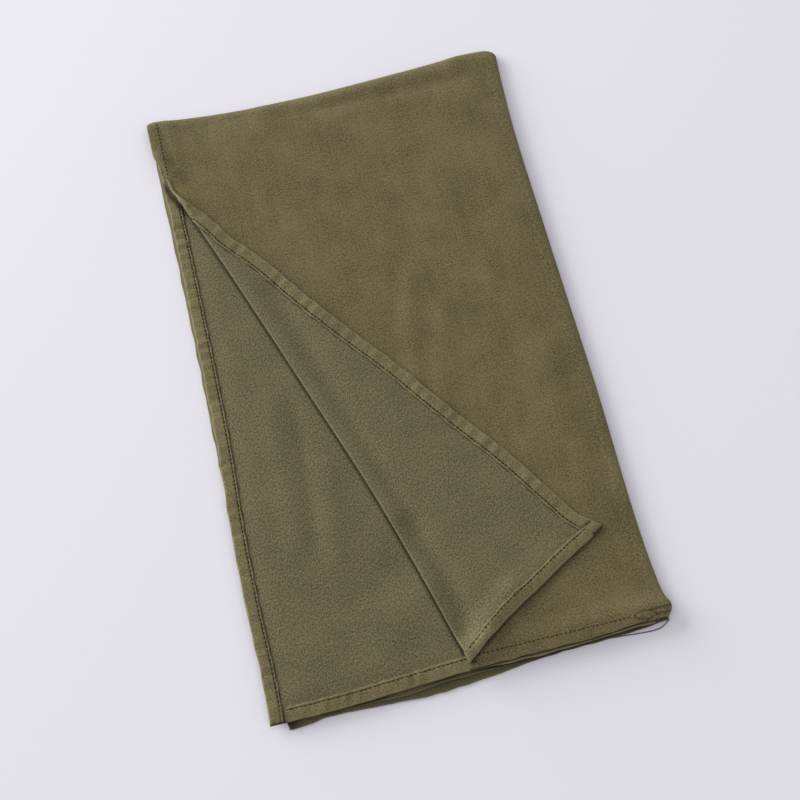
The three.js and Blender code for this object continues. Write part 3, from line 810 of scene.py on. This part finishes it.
# %% Folded layers under the top pair
Layer = namedtuple("Layer", "front left low high bend seed shade")
LOWEST = Layer(
    front=curve_through([-185, -156, -147, -134, -121, -104, -87, -70, -53, -36, -21, 0, 14, 40, 63, 88, 109,
                         126, 150, 172],
                        [305, 305.6, 304.4, 303, 302.8, 303.5, 304.4, 304.9, 306, 305.8, 304.8, 303.2, 302,
                         299, 297, 296, 295.4, 294.8, 293.2, 290.5]),
    left=curve_through([-305, -285, -200, -124, -48, 31, 156, 244, 290],
                       [-165, -169, -174, -176, -175.6, -174.6, -173.8, -173.8, -172]),
    low=0.0, high=0.52, bend=1.5, seed=71, shade=0.6)
UPPER = Layer(
    front=curve_through([-185, -165, -128, -96, -69, -43, -28, 2, 40, 64, 100, 140, 172],
                        [299, 300, 299, 300.5, 301.5, 299.5, 298, 297.5, 297, 295, 293.8, 293.2, 291]),
    left=curve_through([-305, -285, -200, -124, -48, 31, 156, 244, 290],
                       [-167, -171, -173, -174, -174.2, -173.4, -172.4, -172.4, -171]),
    low=0.56, high=1.0, bend=1.9, seed=81, shade=0.9)
BOTTOM_ROWS, BEND_ROWS, TOP_ROWS = 40, 14, 70
LOWER_COLUMNS = 130
LAYER_SHELL = 0.4
LAYER_TUCK = 10.0
LAYER_POINTS = 6
LOWER_EDGE_IN, LOWER_EDGE_DEPTH = turned_under(LAYER_SHELL, LAYER_TUCK, LAYER_POINTS)
LOWER_EDGE_STEPS = len(LOWER_EDGE_IN) - 1
LOWER_BACK = BACK - 14.0
LOWER_RIGHT_IN = 3.0
LOWER_CLEAR = 0.1
MOST_INSET = 0.5
LAYER_HALF_CUT = 586.0
LEFT_WAVE, FRONT_WAVE = Wave(0.5, 31), Wave(0.25, 27)

# %% How the hidden layers are shaded
BEND_WEAR_AND_HIGHLIGHT = 0.5
RIM_COLUMNS = LOWER_EDGE_STEPS + 2
HEM_END_X, HEM_END_WIDTH, HEM_END_SHADE = -163.0, 6.0, 0.75
UNDER_EDGE_FROM, UNDER_EDGE_FADE = 0.8, 2.2
UNDER_EDGE_MIDDLE, UNDER_EDGE_REACH = -4.0, 8.0
PALER_BY, PALER_FROM, PALER_OVER = 0.7, 140.0, 25.0


def layer_marks(layer, column, bend, x, y):
    """Wear and painted highlight on rim and fold; painted shade at the hem's end and under the edge above."""
    highlighted_left_rim = (column <= RIM_COLUMNS) & (y > FRONT)
    worn = np.maximum(BEND_WEAR_AND_HIGHLIGHT * np.sin(np.pi * bend), highlighted_left_rim)
    hem_end = HEM_END_SHADE * near(x - HEM_END_X, HEM_END_WIDTH) * (y < FRONT)
    covered = y - np.minimum(second_front(x), top_front(x))
    under_edge = 1 - ease((-covered - UNDER_EDGE_FROM) / UNDER_EDGE_FADE)
    under_edge = under_edge * (abs(covered - UNDER_EDGE_MIDDLE) < UNDER_EDGE_REACH)
    paler = 1 - PALER_BY * ease((x - PALER_FROM) / PALER_OVER)
    return worn, hem_end + layer.shade * under_edge * paler


# %% Hidden layers as two folded sheets
lower_rows = BOTTOM_ROWS + BEND_ROWS + TOP_ROWS
lower_columns = 2 * LOWER_EDGE_STEPS + LOWER_COLUMNS


def place_lower(layer):
    def place(column, row):
        from_left = np.minimum(column, LOWER_EDGE_STEPS)
        from_right = np.minimum(lower_columns - column, LOWER_EDGE_STEPS)
        across = np.clip((column - LOWER_EDGE_STEPS) / LOWER_COLUMNS, 0, 1)
        inset = np.maximum(LOWER_EDGE_DEPTH[from_left], LOWER_EDGE_DEPTH[from_right])
        bend = np.clip((row - BOTTOM_ROWS) / BEND_ROWS, 0, 1)
        above = np.clip((row - BOTTOM_ROWS - BEND_ROWS) / TOP_ROWS, 0, 1)
        below = 1 - np.clip(row / BOTTOM_ROWS, 0, 1)
        far = above + below

        def x_at(y):
            left = layer.left(y) + ripple(LEFT_WAVE, y, layer.seed) + LOWER_EDGE_IN[from_left]
            right = right_edge(y) - LOWER_RIGHT_IN - LOWER_EDGE_IN[from_right]
            return mix(left, right, across)

        x = x_at(mix(FRONT, LOWER_BACK, far))
        front = -layer.front(x) + ripple(FRONT_WAVE, x, layer.seed + 1)
        centre = front + layer.bend
        y = mix(centre, LOWER_BACK, far)
        x = x_at(y)
        whole = core_top(x, y) - LOWER_CLEAR
        low, high = whole * layer.low, whole * layer.high
        angle = np.pi * bend
        half = (high - low) / 2
        y = y - (layer.bend - np.minimum(inset, MOST_INSET)) * np.sin(angle)
        z = low + half - (half - np.minimum(inset, half)) * np.cos(angle)
        worn, shaded = layer_marks(layer, column, bend, x, y)
        cut = (x, mix(-1, 1, row / lower_rows) * LAYER_HALF_CUT)
        return np.stack([x, y, z], axis=-1), cut, worn, shaded

    return place


lowest_layers = lay_grid("lowest_layers", lower_columns, lower_rows, place_lower(LOWEST), LAYER_SHELL)
upper_layers = lay_grid("upper_layers", lower_columns, lower_rows, place_lower(UPPER), LAYER_SHELL)

# %% [markdown]
# At the front right the lowest cloth's edge has come loose and lies as a thin bow in front of the stack. A
# curve with a bevel could draw it, but a narrow tube made from the same grid carries the same flat places.

# %% Loose edge at the front right
loose_front = curve_through([100, 126, 140, 152, 158, 164, 171],
                            [293.6, 295.3, 296.4, 297.1, 297.0, 295.6, 291.2])
LOOSE_FROM, LOOSE_TO = 102.0, 171.0
LOOSE_RADIUS = 0.45
LOOSE_LIFT = 0.02
LOOSE_SHELL = 0.2
LOOSE_STEPS, LOOSE_ROWS = 8, 60


def place_loose_edge(column, row):
    x = mix(LOOSE_FROM, LOOSE_TO, row / LOOSE_ROWS)
    angle = np.pi * 2 * column / LOOSE_STEPS
    y = -loose_front(x) + LOOSE_RADIUS * np.cos(angle)
    z = LOOSE_RADIUS + LOOSE_LIFT + LOOSE_RADIUS * np.sin(angle)
    # A little lighter, partly wear and partly painted highlight, with a touch of painted shade.
    worn, shaded = 0.5, 0.1
    return np.stack([x, y, z], axis=-1), (column / LOOSE_STEPS, x), worn, shaded


loose_edge = lay_grid("loose_edge", LOOSE_STEPS, LOOSE_ROWS, place_loose_edge, LOOSE_SHELL)

# %% [markdown]
# ## Stitches
#
# A line of machine stitches is a row of short thread loops that sink into the cloth at each needle hole. One
# stitch is a small sphere stretched to its length and turned along the seam. It is repeated hundreds of
# times, so it has few faces, and all the stitches of a line are joined in one mesh.

# %% Stitch lines
STITCH_LENGTH = 2.9
STITCH_WIDTH = 1.25
STITCH_HEIGHT = 0.7
FINE_STITCH_WIDTH = 0.95
SLIP_ALONG, SLIP_ACROSS, LENGTH_SPREAD = 0.25, 0.12, 0.1
HALF_STEP_ALONG, HALF_STEP_ACROSS = 0.5, 0.3


def make_stitches(name, lay, start, end, inward, lift, seed, width=STITCH_WIDTH):
    """A line of stitches; inward is a number, or a function of the place along the line."""
    numbers = np.random.default_rng(seed)
    bm = bmesh.new()
    count = int(abs(end - start) / STITCH_PITCH)
    direction = np.sign(end - start)
    for k in range(count):
        middle = start + direction * (k + 0.5) * STITCH_PITCH + numbers.uniform(-SLIP_ALONG, SLIP_ALONG)
        side_step = numbers.uniform(-SLIP_ACROSS, SLIP_ACROSS)

        def at(along, side):
            where = inward(along) if callable(inward) else inward
            return (lay(np.array(along), np.array(where + side_step + side), lift) + TO_FRAME) * MM

        place = Vector(at(middle, 0.0))
        run = Vector(at(middle + HALF_STEP_ALONG, 0.0)) - Vector(at(middle - HALF_STEP_ALONG, 0.0))
        side = Vector(at(middle, HALF_STEP_ACROSS)) - Vector(at(middle, -HALF_STEP_ACROSS))
        run.normalize()
        up = run.cross(side).normalized()
        up = up if up.z > 0 else -up
        across = up.cross(run)
        half = 0.5 * MM * numbers.uniform(1 - LENGTH_SPREAD, 1 + LENGTH_SPREAD)
        axes = Matrix((run * STITCH_LENGTH * half, across * width * half, up * STITCH_HEIGHT * half))
        turn = Matrix.Translation(place) @ axes.transposed().to_4x4()
        bmesh.ops.create_uvsphere(bm, u_segments=8, v_segments=5, radius=1.0, matrix=turn)
    mesh = bpy.data.meshes.new(name)
    bm.to_mesh(mesh)
    bm.free()
    print(name, "-", count, "stitches")
    return add_piece(name, mesh)


def lay_top_front(x, inward, lift):
    y = FRONT + inward
    return np.stack([x, y, face_top(x, y) + lift], axis=-1)


MOST_PAST = 0.98


def lay_top_left(y, inward, lift):
    x = LEFT + inward
    flat_end = BACK - BACK_ROLL.shoulder
    strayed = y + back_stray(x)
    past = np.clip((y - flat_end) / BACK_ROLL.shoulder, 0, MOST_PAST)
    upper = face_top(x, np.minimum(y, flat_end) + back_stray(x))
    drop = (upper - BACK_ROLL.end) / (1 - np.cos(ROLL_TURN))
    return np.stack([x, strayed, upper - drop * (1 - np.sqrt(1 - past**2)) + lift], axis=-1)


def end_hem_line(round_way):
    return STITCH_FROM_EDGE * narrower_at_fold(round_way)


HEM_STITCH_LIFT = HEM_TOP - 0.15
FACE_STITCH_LIFT = 0.05
END_STITCH_IN = 10.3
stitch_lines = [
    make_stitches("second_long_hem_stitches", lay_second_long, SECOND_LONG_START + 13, 245.0,
                  STITCH_FROM_EDGE, HEM_STITCH_LIFT, 101),
    make_stitches("second_end_hem_stitches", lay_second_end, -162.0, 5.0,
                  STITCH_FROM_EDGE, HEM_STITCH_LIFT, 102, FINE_STITCH_WIDTH),
    make_stitches("corner_long_hem_stitches", lay_corner_long, 36.0, LONG_HEM_LENGTH - TAB - 1,
                  STITCH_FROM_EDGE, HEM_STITCH_LIFT, 103),
    make_stitches("corner_end_hem_stitches", lay_corner_end, END_HEM_FROM - 4, 5.0,
                  end_hem_line, HEM_STITCH_LIFT, 104, FINE_STITCH_WIDTH),
    make_stitches("top_face_end_stitches", lay_top_front, -2.0, 141.0,
                  END_STITCH_IN, FACE_STITCH_LIFT, 105, FINE_STITCH_WIDTH),
    make_stitches("top_face_side_stitches", lay_top_left, FOLD_START[1] - 4, BACK - 1.0,
                  STITCH_FROM_EDGE, FACE_STITCH_LIFT, 106),
]

# %% [markdown]
# ## Finishes
#
# The cloth is matt and finely woven, with faint streaks along its length where the yarn is uneven. Every
# cloth shows the same three effects in other strengths, so each effect is a node group with named inputs, and
# each material places the groups with its own values. They read the UV map in metres of the flat cut.

# %% Node helpers
def new_group(name, inputs, outputs):
    tree = bpy.data.node_groups.new(name, "ShaderNodeTree")
    for label, kind, value in inputs:
        socket = tree.interface.new_socket(name=label, in_out="INPUT", socket_type=kind)
        if value is not None:
            socket.default_value = value
    for label, kind in outputs:
        tree.interface.new_socket(name=label, in_out="OUTPUT", socket_type=kind)
    return tree, tree.nodes.new("NodeGroupInput"), tree.nodes.new("NodeGroupOutput")


def math_node(tree, operation, first, second=None):
    node = tree.nodes.new("ShaderNodeMath")
    node.operation = operation
    for socket, value in zip(node.inputs, (first, second)):
        if value is None:
            continue
        if isinstance(value, (int, float)):
            socket.default_value = value
        else:
            tree.links.new(value, socket)
    return node.outputs[0]


def noise_node(tree, vector, scale, detail=2.0, roughness=0.5):
    node = tree.nodes.new("ShaderNodeTexNoise")
    node.inputs["Scale"].default_value = scale
    node.inputs["Detail"].default_value = detail
    node.inputs["Roughness"].default_value = roughness
    tree.links.new(vector, node.inputs["Vector"])
    return node.outputs["Fac"]


def cut_noise(tree, cut, noise):
    """Noise on the flat cut, with one scale across the cloth and another along it."""
    node = tree.nodes.new("ShaderNodeMapping")
    node.inputs["Scale"].default_value = (noise.across, noise.along, 1.0)
    tree.links.new(cut, node.inputs["Vector"])
    return noise_node(tree, node.outputs["Vector"], 1.0, noise.detail, noise.roughness)


# %% Weave, streaks and mottle as node groups
VECTOR, FLOAT = "NodeSocketVector", "NodeSocketFloat"
THREADS_PER_METRE = 1900.0
CROSSING_SHARE = 0.25
FINE_SHARE, BROAD_SHARE = 0.65, 0.35
Noise = namedtuple("Noise", "across along detail roughness")
GRAIN = Noise(820.0, 560.0, 2.0, 0.75)
FINE_STREAK = Noise(650.0, 28.0, 2.0, 0.6)
BROAD_STREAK = Noise(120.0, 9.0, 1.0, 0.5)
MOTTLE_SCALE, MOTTLE_DETAIL, MOTTLE_ROUGHNESS = 24.0, 3.0, 0.55


def weave_group():
    inputs = [("Cut", VECTOR, None), ("Threads per metre", FLOAT, THREADS_PER_METRE)]
    tree, inside, outside = new_group("plain_weave", inputs, [("Height", FLOAT), ("Grain", FLOAT)])
    parts = tree.nodes.new("ShaderNodeSeparateXYZ")
    tree.links.new(inside.outputs["Cut"], parts.inputs[0])
    turns = math_node(tree, "MULTIPLY", inside.outputs["Threads per metre"], float(np.pi))
    warp = math_node(tree, "SINE", math_node(tree, "MULTIPLY", parts.outputs["X"], turns))
    weft = math_node(tree, "SINE", math_node(tree, "MULTIPLY", parts.outputs["Y"], turns))
    crossing = math_node(tree, "MULTIPLY", warp, weft)
    grain = cut_noise(tree, inside.outputs["Cut"], GRAIN)
    woven = math_node(tree, "MULTIPLY_ADD", crossing, CROSSING_SHARE)
    tree.links.new(grain, woven.node.inputs[2])
    tree.links.new(woven, outside.inputs["Height"])
    tree.links.new(grain, outside.inputs["Grain"])
    return tree


def streak_group():
    tree, inside, outside = new_group("yarn_streaks", [("Cut", VECTOR, None)], [("Streak", FLOAT)])
    fine = math_node(tree, "MULTIPLY", cut_noise(tree, inside.outputs["Cut"], FINE_STREAK), FINE_SHARE)
    broad = math_node(tree, "MULTIPLY", cut_noise(tree, inside.outputs["Cut"], BROAD_STREAK), BROAD_SHARE)
    tree.links.new(math_node(tree, "ADD", fine, broad), outside.inputs["Streak"])
    return tree


def mottle_group():
    tree, inside, outside = new_group("dye_mottle", [("Cut", VECTOR, None)], [("Mottle", FLOAT)])
    mottle = noise_node(tree, inside.outputs["Cut"], MOTTLE_SCALE, MOTTLE_DETAIL, MOTTLE_ROUGHNESS)
    tree.links.new(mottle, outside.inputs["Mottle"])
    return tree


WEAVE, STREAKS, MOTTLE = weave_group(), streak_group(), mottle_group()
print("node groups:", [group.name for group in (WEAVE, STREAKS, MOTTLE)])

# %% Helpers for materials
MATT_CLOTH = {"Roughness": 0.88, "Specular IOR Level": 0.25, "Sheen Weight": 0.08, "Sheen Roughness": 0.5}
MATT_THREAD = {"Roughness": 0.8, "Specular IOR Level": 0.2}
MATT_FLOOR = {"Roughness": 0.9, "Specular IOR Level": 0.1}


def new_material(name, finish):
    """A material, its node tree, and its Principled shader with the finish's values."""
    material = bpy.data.materials.new(name)
    material.use_nodes = True
    shader = material.node_tree.nodes["Principled BSDF"]
    for label, value in finish.items():
        shader.inputs[label].default_value = value
    return material, material.node_tree, shader


def mixed_colour(tree, share, low, high):
    node = tree.nodes.new("ShaderNodeMix")
    node.data_type = "RGBA"
    tree.links.new(share, node.inputs["Factor"])
    for socket, value in ((node.inputs["A"], low), (node.inputs["B"], high)):
        if isinstance(value, tuple):
            socket.default_value = (*value, 1.0)
        else:
            tree.links.new(value, socket)
    return node.outputs["Result"]


def place_group(tree, group, cut):
    node = tree.nodes.new("ShaderNodeGroup")
    node.node_tree = group
    tree.links.new(cut, node.inputs["Cut"])
    return node.outputs


def marked(tree, name, strength):
    """How strongly a vertex mark changes the colour."""
    node = tree.nodes.new("ShaderNodeAttribute")
    node.attribute_name = name
    return math_node(tree, "MULTIPLY", node.outputs["Fac"], strength)


# %% Cloth and thread materials
Look = namedtuple("Look", "colour worn grain streak mottle bump")
DEEP_SHADE = (0.012, 0.010, 0.004)
DARK_YARN, LIGHT_YARN = 0.55, 1.45
WEAR_AND_HIGHLIGHT_SHARE, SHADED_SHARE = 0.55, 0.9
BUMP_DEPTH = 0.0003
NOISE_MIDDLE = 0.5
# The thread's colours are very dark: partly the thread's own colour and partly painted shade of the sunken
# stitches and their needle holes.
DARK_FIBRE, LIGHT_FIBRE = (0.011, 0.009, 0.004), (0.034, 0.027, 0.013)
FIBRE_SCALE = 2500.0


def cloth_material(name, look):
    material, tree, shader = new_material(name, MATT_CLOTH)
    cut = tree.nodes.new("ShaderNodeUVMap")
    cut.uv_map = "Cut"
    woven = place_group(tree, WEAVE, cut.outputs["UV"])
    streak = place_group(tree, STREAKS, cut.outputs["UV"])["Streak"]
    mottle = place_group(tree, MOTTLE, cut.outputs["UV"])["Mottle"]

    def swing(value, amount):
        return math_node(tree, "MULTIPLY", math_node(tree, "SUBTRACT", value, NOISE_MIDDLE), amount)

    total = math_node(tree, "ADD", swing(woven["Grain"], look.grain), swing(streak, look.streak))
    total = math_node(tree, "ADD", total, swing(mottle, look.mottle))
    share = math_node(tree, "ADD", total, NOISE_MIDDLE)
    dark = tuple(DARK_YARN * c for c in look.colour)
    light = tuple(LIGHT_YARN * c for c in look.colour)
    base = mixed_colour(tree, share, dark, light)
    # The first mark mixes in a lighter colour, partly wear and partly painted highlight; the shaded mark
    # mixes in painted shade.
    base = mixed_colour(tree, marked(tree, "worn", WEAR_AND_HIGHLIGHT_SHARE), base, look.worn)
    base = mixed_colour(tree, marked(tree, "shaded", SHADED_SHARE), base, DEEP_SHADE)
    tree.links.new(base, shader.inputs["Base Color"])
    bump = tree.nodes.new("ShaderNodeBump")
    bump.inputs["Strength"].default_value = look.bump
    bump.inputs["Distance"].default_value = BUMP_DEPTH
    tree.links.new(woven["Height"], bump.inputs["Height"])
    tree.links.new(bump.outputs["Normal"], shader.inputs["Normal"])
    return material


def speckled_material(name, finish, scale, low, high):
    """Two near colours mixed by a plain noise, for the thread and for the floor."""
    material, tree, shader = new_material(name, finish)
    place = tree.nodes.new("ShaderNodeTexCoord")
    speckle = noise_node(tree, place.outputs["Object"], scale)
    tree.links.new(mixed_colour(tree, speckle, low, high), shader.inputs["Base Color"])
    return material


RIGHT_SIDE = cloth_material("cloth_right_side", Look(
    colour=(0.150, 0.123, 0.054), worn=(0.21, 0.18, 0.09), grain=4.0, streak=0.7, mottle=1.0, bump=0.35))
WRONG_SIDE = cloth_material("cloth_wrong_side", Look(
    colour=(0.145, 0.126, 0.063), worn=(0.22, 0.19, 0.10), grain=5.2, streak=0.2, mottle=0.6, bump=0.4))
HEM_SIDE = cloth_material("cloth_hems", Look(
    colour=(0.165, 0.140, 0.064), worn=(0.25, 0.22, 0.115), grain=3.5, streak=0.2, mottle=1.0, bump=0.35))
# The hidden layers are coloured darker than the same cloth above, as painted shade; their lighter colour is
# partly wear and partly painted highlight.
LAYER_SIDE_SHADED = cloth_material("cloth_layers_painted_shade", Look(
    colour=(0.115, 0.095, 0.045), worn=(0.24, 0.21, 0.12), grain=2.6, streak=0.2, mottle=0.6, bump=0.35))
THREAD = speckled_material("thread_with_painted_shade", MATT_THREAD, FIBRE_SCALE, DARK_FIBRE, LIGHT_FIBRE)
print("materials:", [material.name for material in (RIGHT_SIDE, WRONG_SIDE, HEM_SIDE, LAYER_SIDE_SHADED, THREAD)])

# %% [markdown]
# ## Bodies and finishes of the pieces
#
# The scarf has no moving part, so every piece rides on the one body. Each piece also says which solid it
# stands for, which finish it takes and the name of its slot.

# %% Dress the model
Dress = namedtuple("Dress", "piece material slot nodes")
DRESSES = [
    Dress(top_face, RIGHT_SIDE, "right_side", ["top_face"]),
    Dress(turned_corner, WRONG_SIDE, "wrong_side", ["turned_corner"]),
    Dress(second_face, WRONG_SIDE, "wrong_side", ["second_face"]),
    Dress(second_long_hem, HEM_SIDE, "hem_cloth", ["second_long_hem"]),
    Dress(second_end_hem, HEM_SIDE, "hem_cloth", ["second_end_hem"]),
    Dress(corner_long_hem, HEM_SIDE, "hem_cloth", ["corner_long_hem"]),
    Dress(corner_end_hem, HEM_SIDE, "hem_cloth", ["corner_end_hem"]),
    Dress(top_end_hem, HEM_SIDE, "hem_cloth", ["top_face_end_hem"]),
    Dress(top_side_hem, HEM_SIDE, "hem_cloth", ["top_face_side_hem"]),
    Dress(lowest_layers, LAYER_SIDE_SHADED, "layer_cloth", ["folded_core"]),
    Dress(upper_layers, LAYER_SIDE_SHADED, "layer_cloth", ["folded_core"]),
    Dress(loose_edge, LAYER_SIDE_SHADED, "layer_cloth", []),
]
DRESSES += [Dress(line, THREAD, "thread", []) for line in stitch_lines]
for piece, material, slot, nodes in DRESSES:
    piece.data.materials.append(material)
    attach(piece, "root")
    if nodes:
        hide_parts(*nodes)
print("pieces dressed:", len(DRESSES))

# %% [markdown]
# ## Floor, light and camera
#
# The scarf lies on a pale surface under soft light from the far left, so its shadows fall to the right and to
# the front. A low and wide area light gives the direction and a bright world fills the rest. The camera looks
# steeply down from the front, a little from the left.

# %% Floor
HALF_FLOOR = 4.0
FLOOR_DROP = 0.0001
FLOOR_SCALE = 1.5
FLOOR_LOW, FLOOR_HIGH = (0.88, 0.858, 0.932), (0.89, 0.868, 0.942)
bm = bmesh.new()
bmesh.ops.create_grid(bm, x_segments=2, y_segments=2, size=HALF_FLOOR)
floor_mesh = bpy.data.meshes.new("floor")
bm.to_mesh(floor_mesh)
bm.free()
floor = add_piece("floor", floor_mesh)
floor.location.z = -FLOOR_DROP
floor_mesh.materials.append(speckled_material("pale_floor", MATT_FLOOR, FLOOR_SCALE, FLOOR_LOW, FLOOR_HIGH))
print("floor's side, m:", 2 * HALF_FLOOR)

# %% Light
WORLD_COLOUR = (0.98, 0.98, 1.0, 1.0)
WORLD_STRENGTH = 0.6
WINDOW_PLACE = Vector((-3.85, 3.45, 1.2))
WINDOW_WIDTH, WINDOW_HEIGHT = 5.0, 2.3
WINDOW_POWER = 410.0
scene = bpy.context.scene
scene.view_settings.view_transform = "Standard"
world = bpy.data.worlds.new("soft_studio")
world.use_nodes = True
world.node_tree.nodes["Background"].inputs["Color"].default_value = WORLD_COLOUR
world.node_tree.nodes["Background"].inputs["Strength"].default_value = WORLD_STRENGTH
scene.world = world
light = bpy.data.lights.new("window", "AREA")
light.shape = "RECTANGLE"
light.size = WINDOW_WIDTH
light.size_y = WINDOW_HEIGHT
light.energy = WINDOW_POWER
window = bpy.data.objects.new("window", light)
window.location = WINDOW_PLACE
window.rotation_euler = (-WINDOW_PLACE).to_track_quat("-Z", "Y").to_euler()
scene.collection.objects.link(window)
print("light's height over the floor, degrees:",
      round(float(np.degrees(np.arcsin(WINDOW_PLACE.z / WINDOW_PLACE.length))), 1))

# %% Camera
AZIMUTH, ELEVATION = np.radians(-13.817), np.radians(68.517)
DISTANCE = 1.4455
LENS, SENSOR = 72.0, 36.0
AIM_IN_STACK = (-4.795, -39.59, 0.0)
AIM = Vector((AIM_IN_STACK + TO_FRAME) * MM)
camera_data = bpy.data.cameras.new("camera")
camera_data.lens = LENS
camera_data.sensor_width = SENSOR
camera = bpy.data.objects.new("camera", camera_data)
level = np.cos(ELEVATION)
to_camera = Vector((np.sin(AZIMUTH) * level, -np.cos(AZIMUTH) * level, np.sin(ELEVATION)))
camera.location = AIM + to_camera * DISTANCE
camera.rotation_euler = (-to_camera).to_track_quat("-Z", "Y").to_euler()
scene.collection.objects.link(camera)
scene.camera = camera
print("camera's place, m:", [round(c, 3) for c in camera.location])
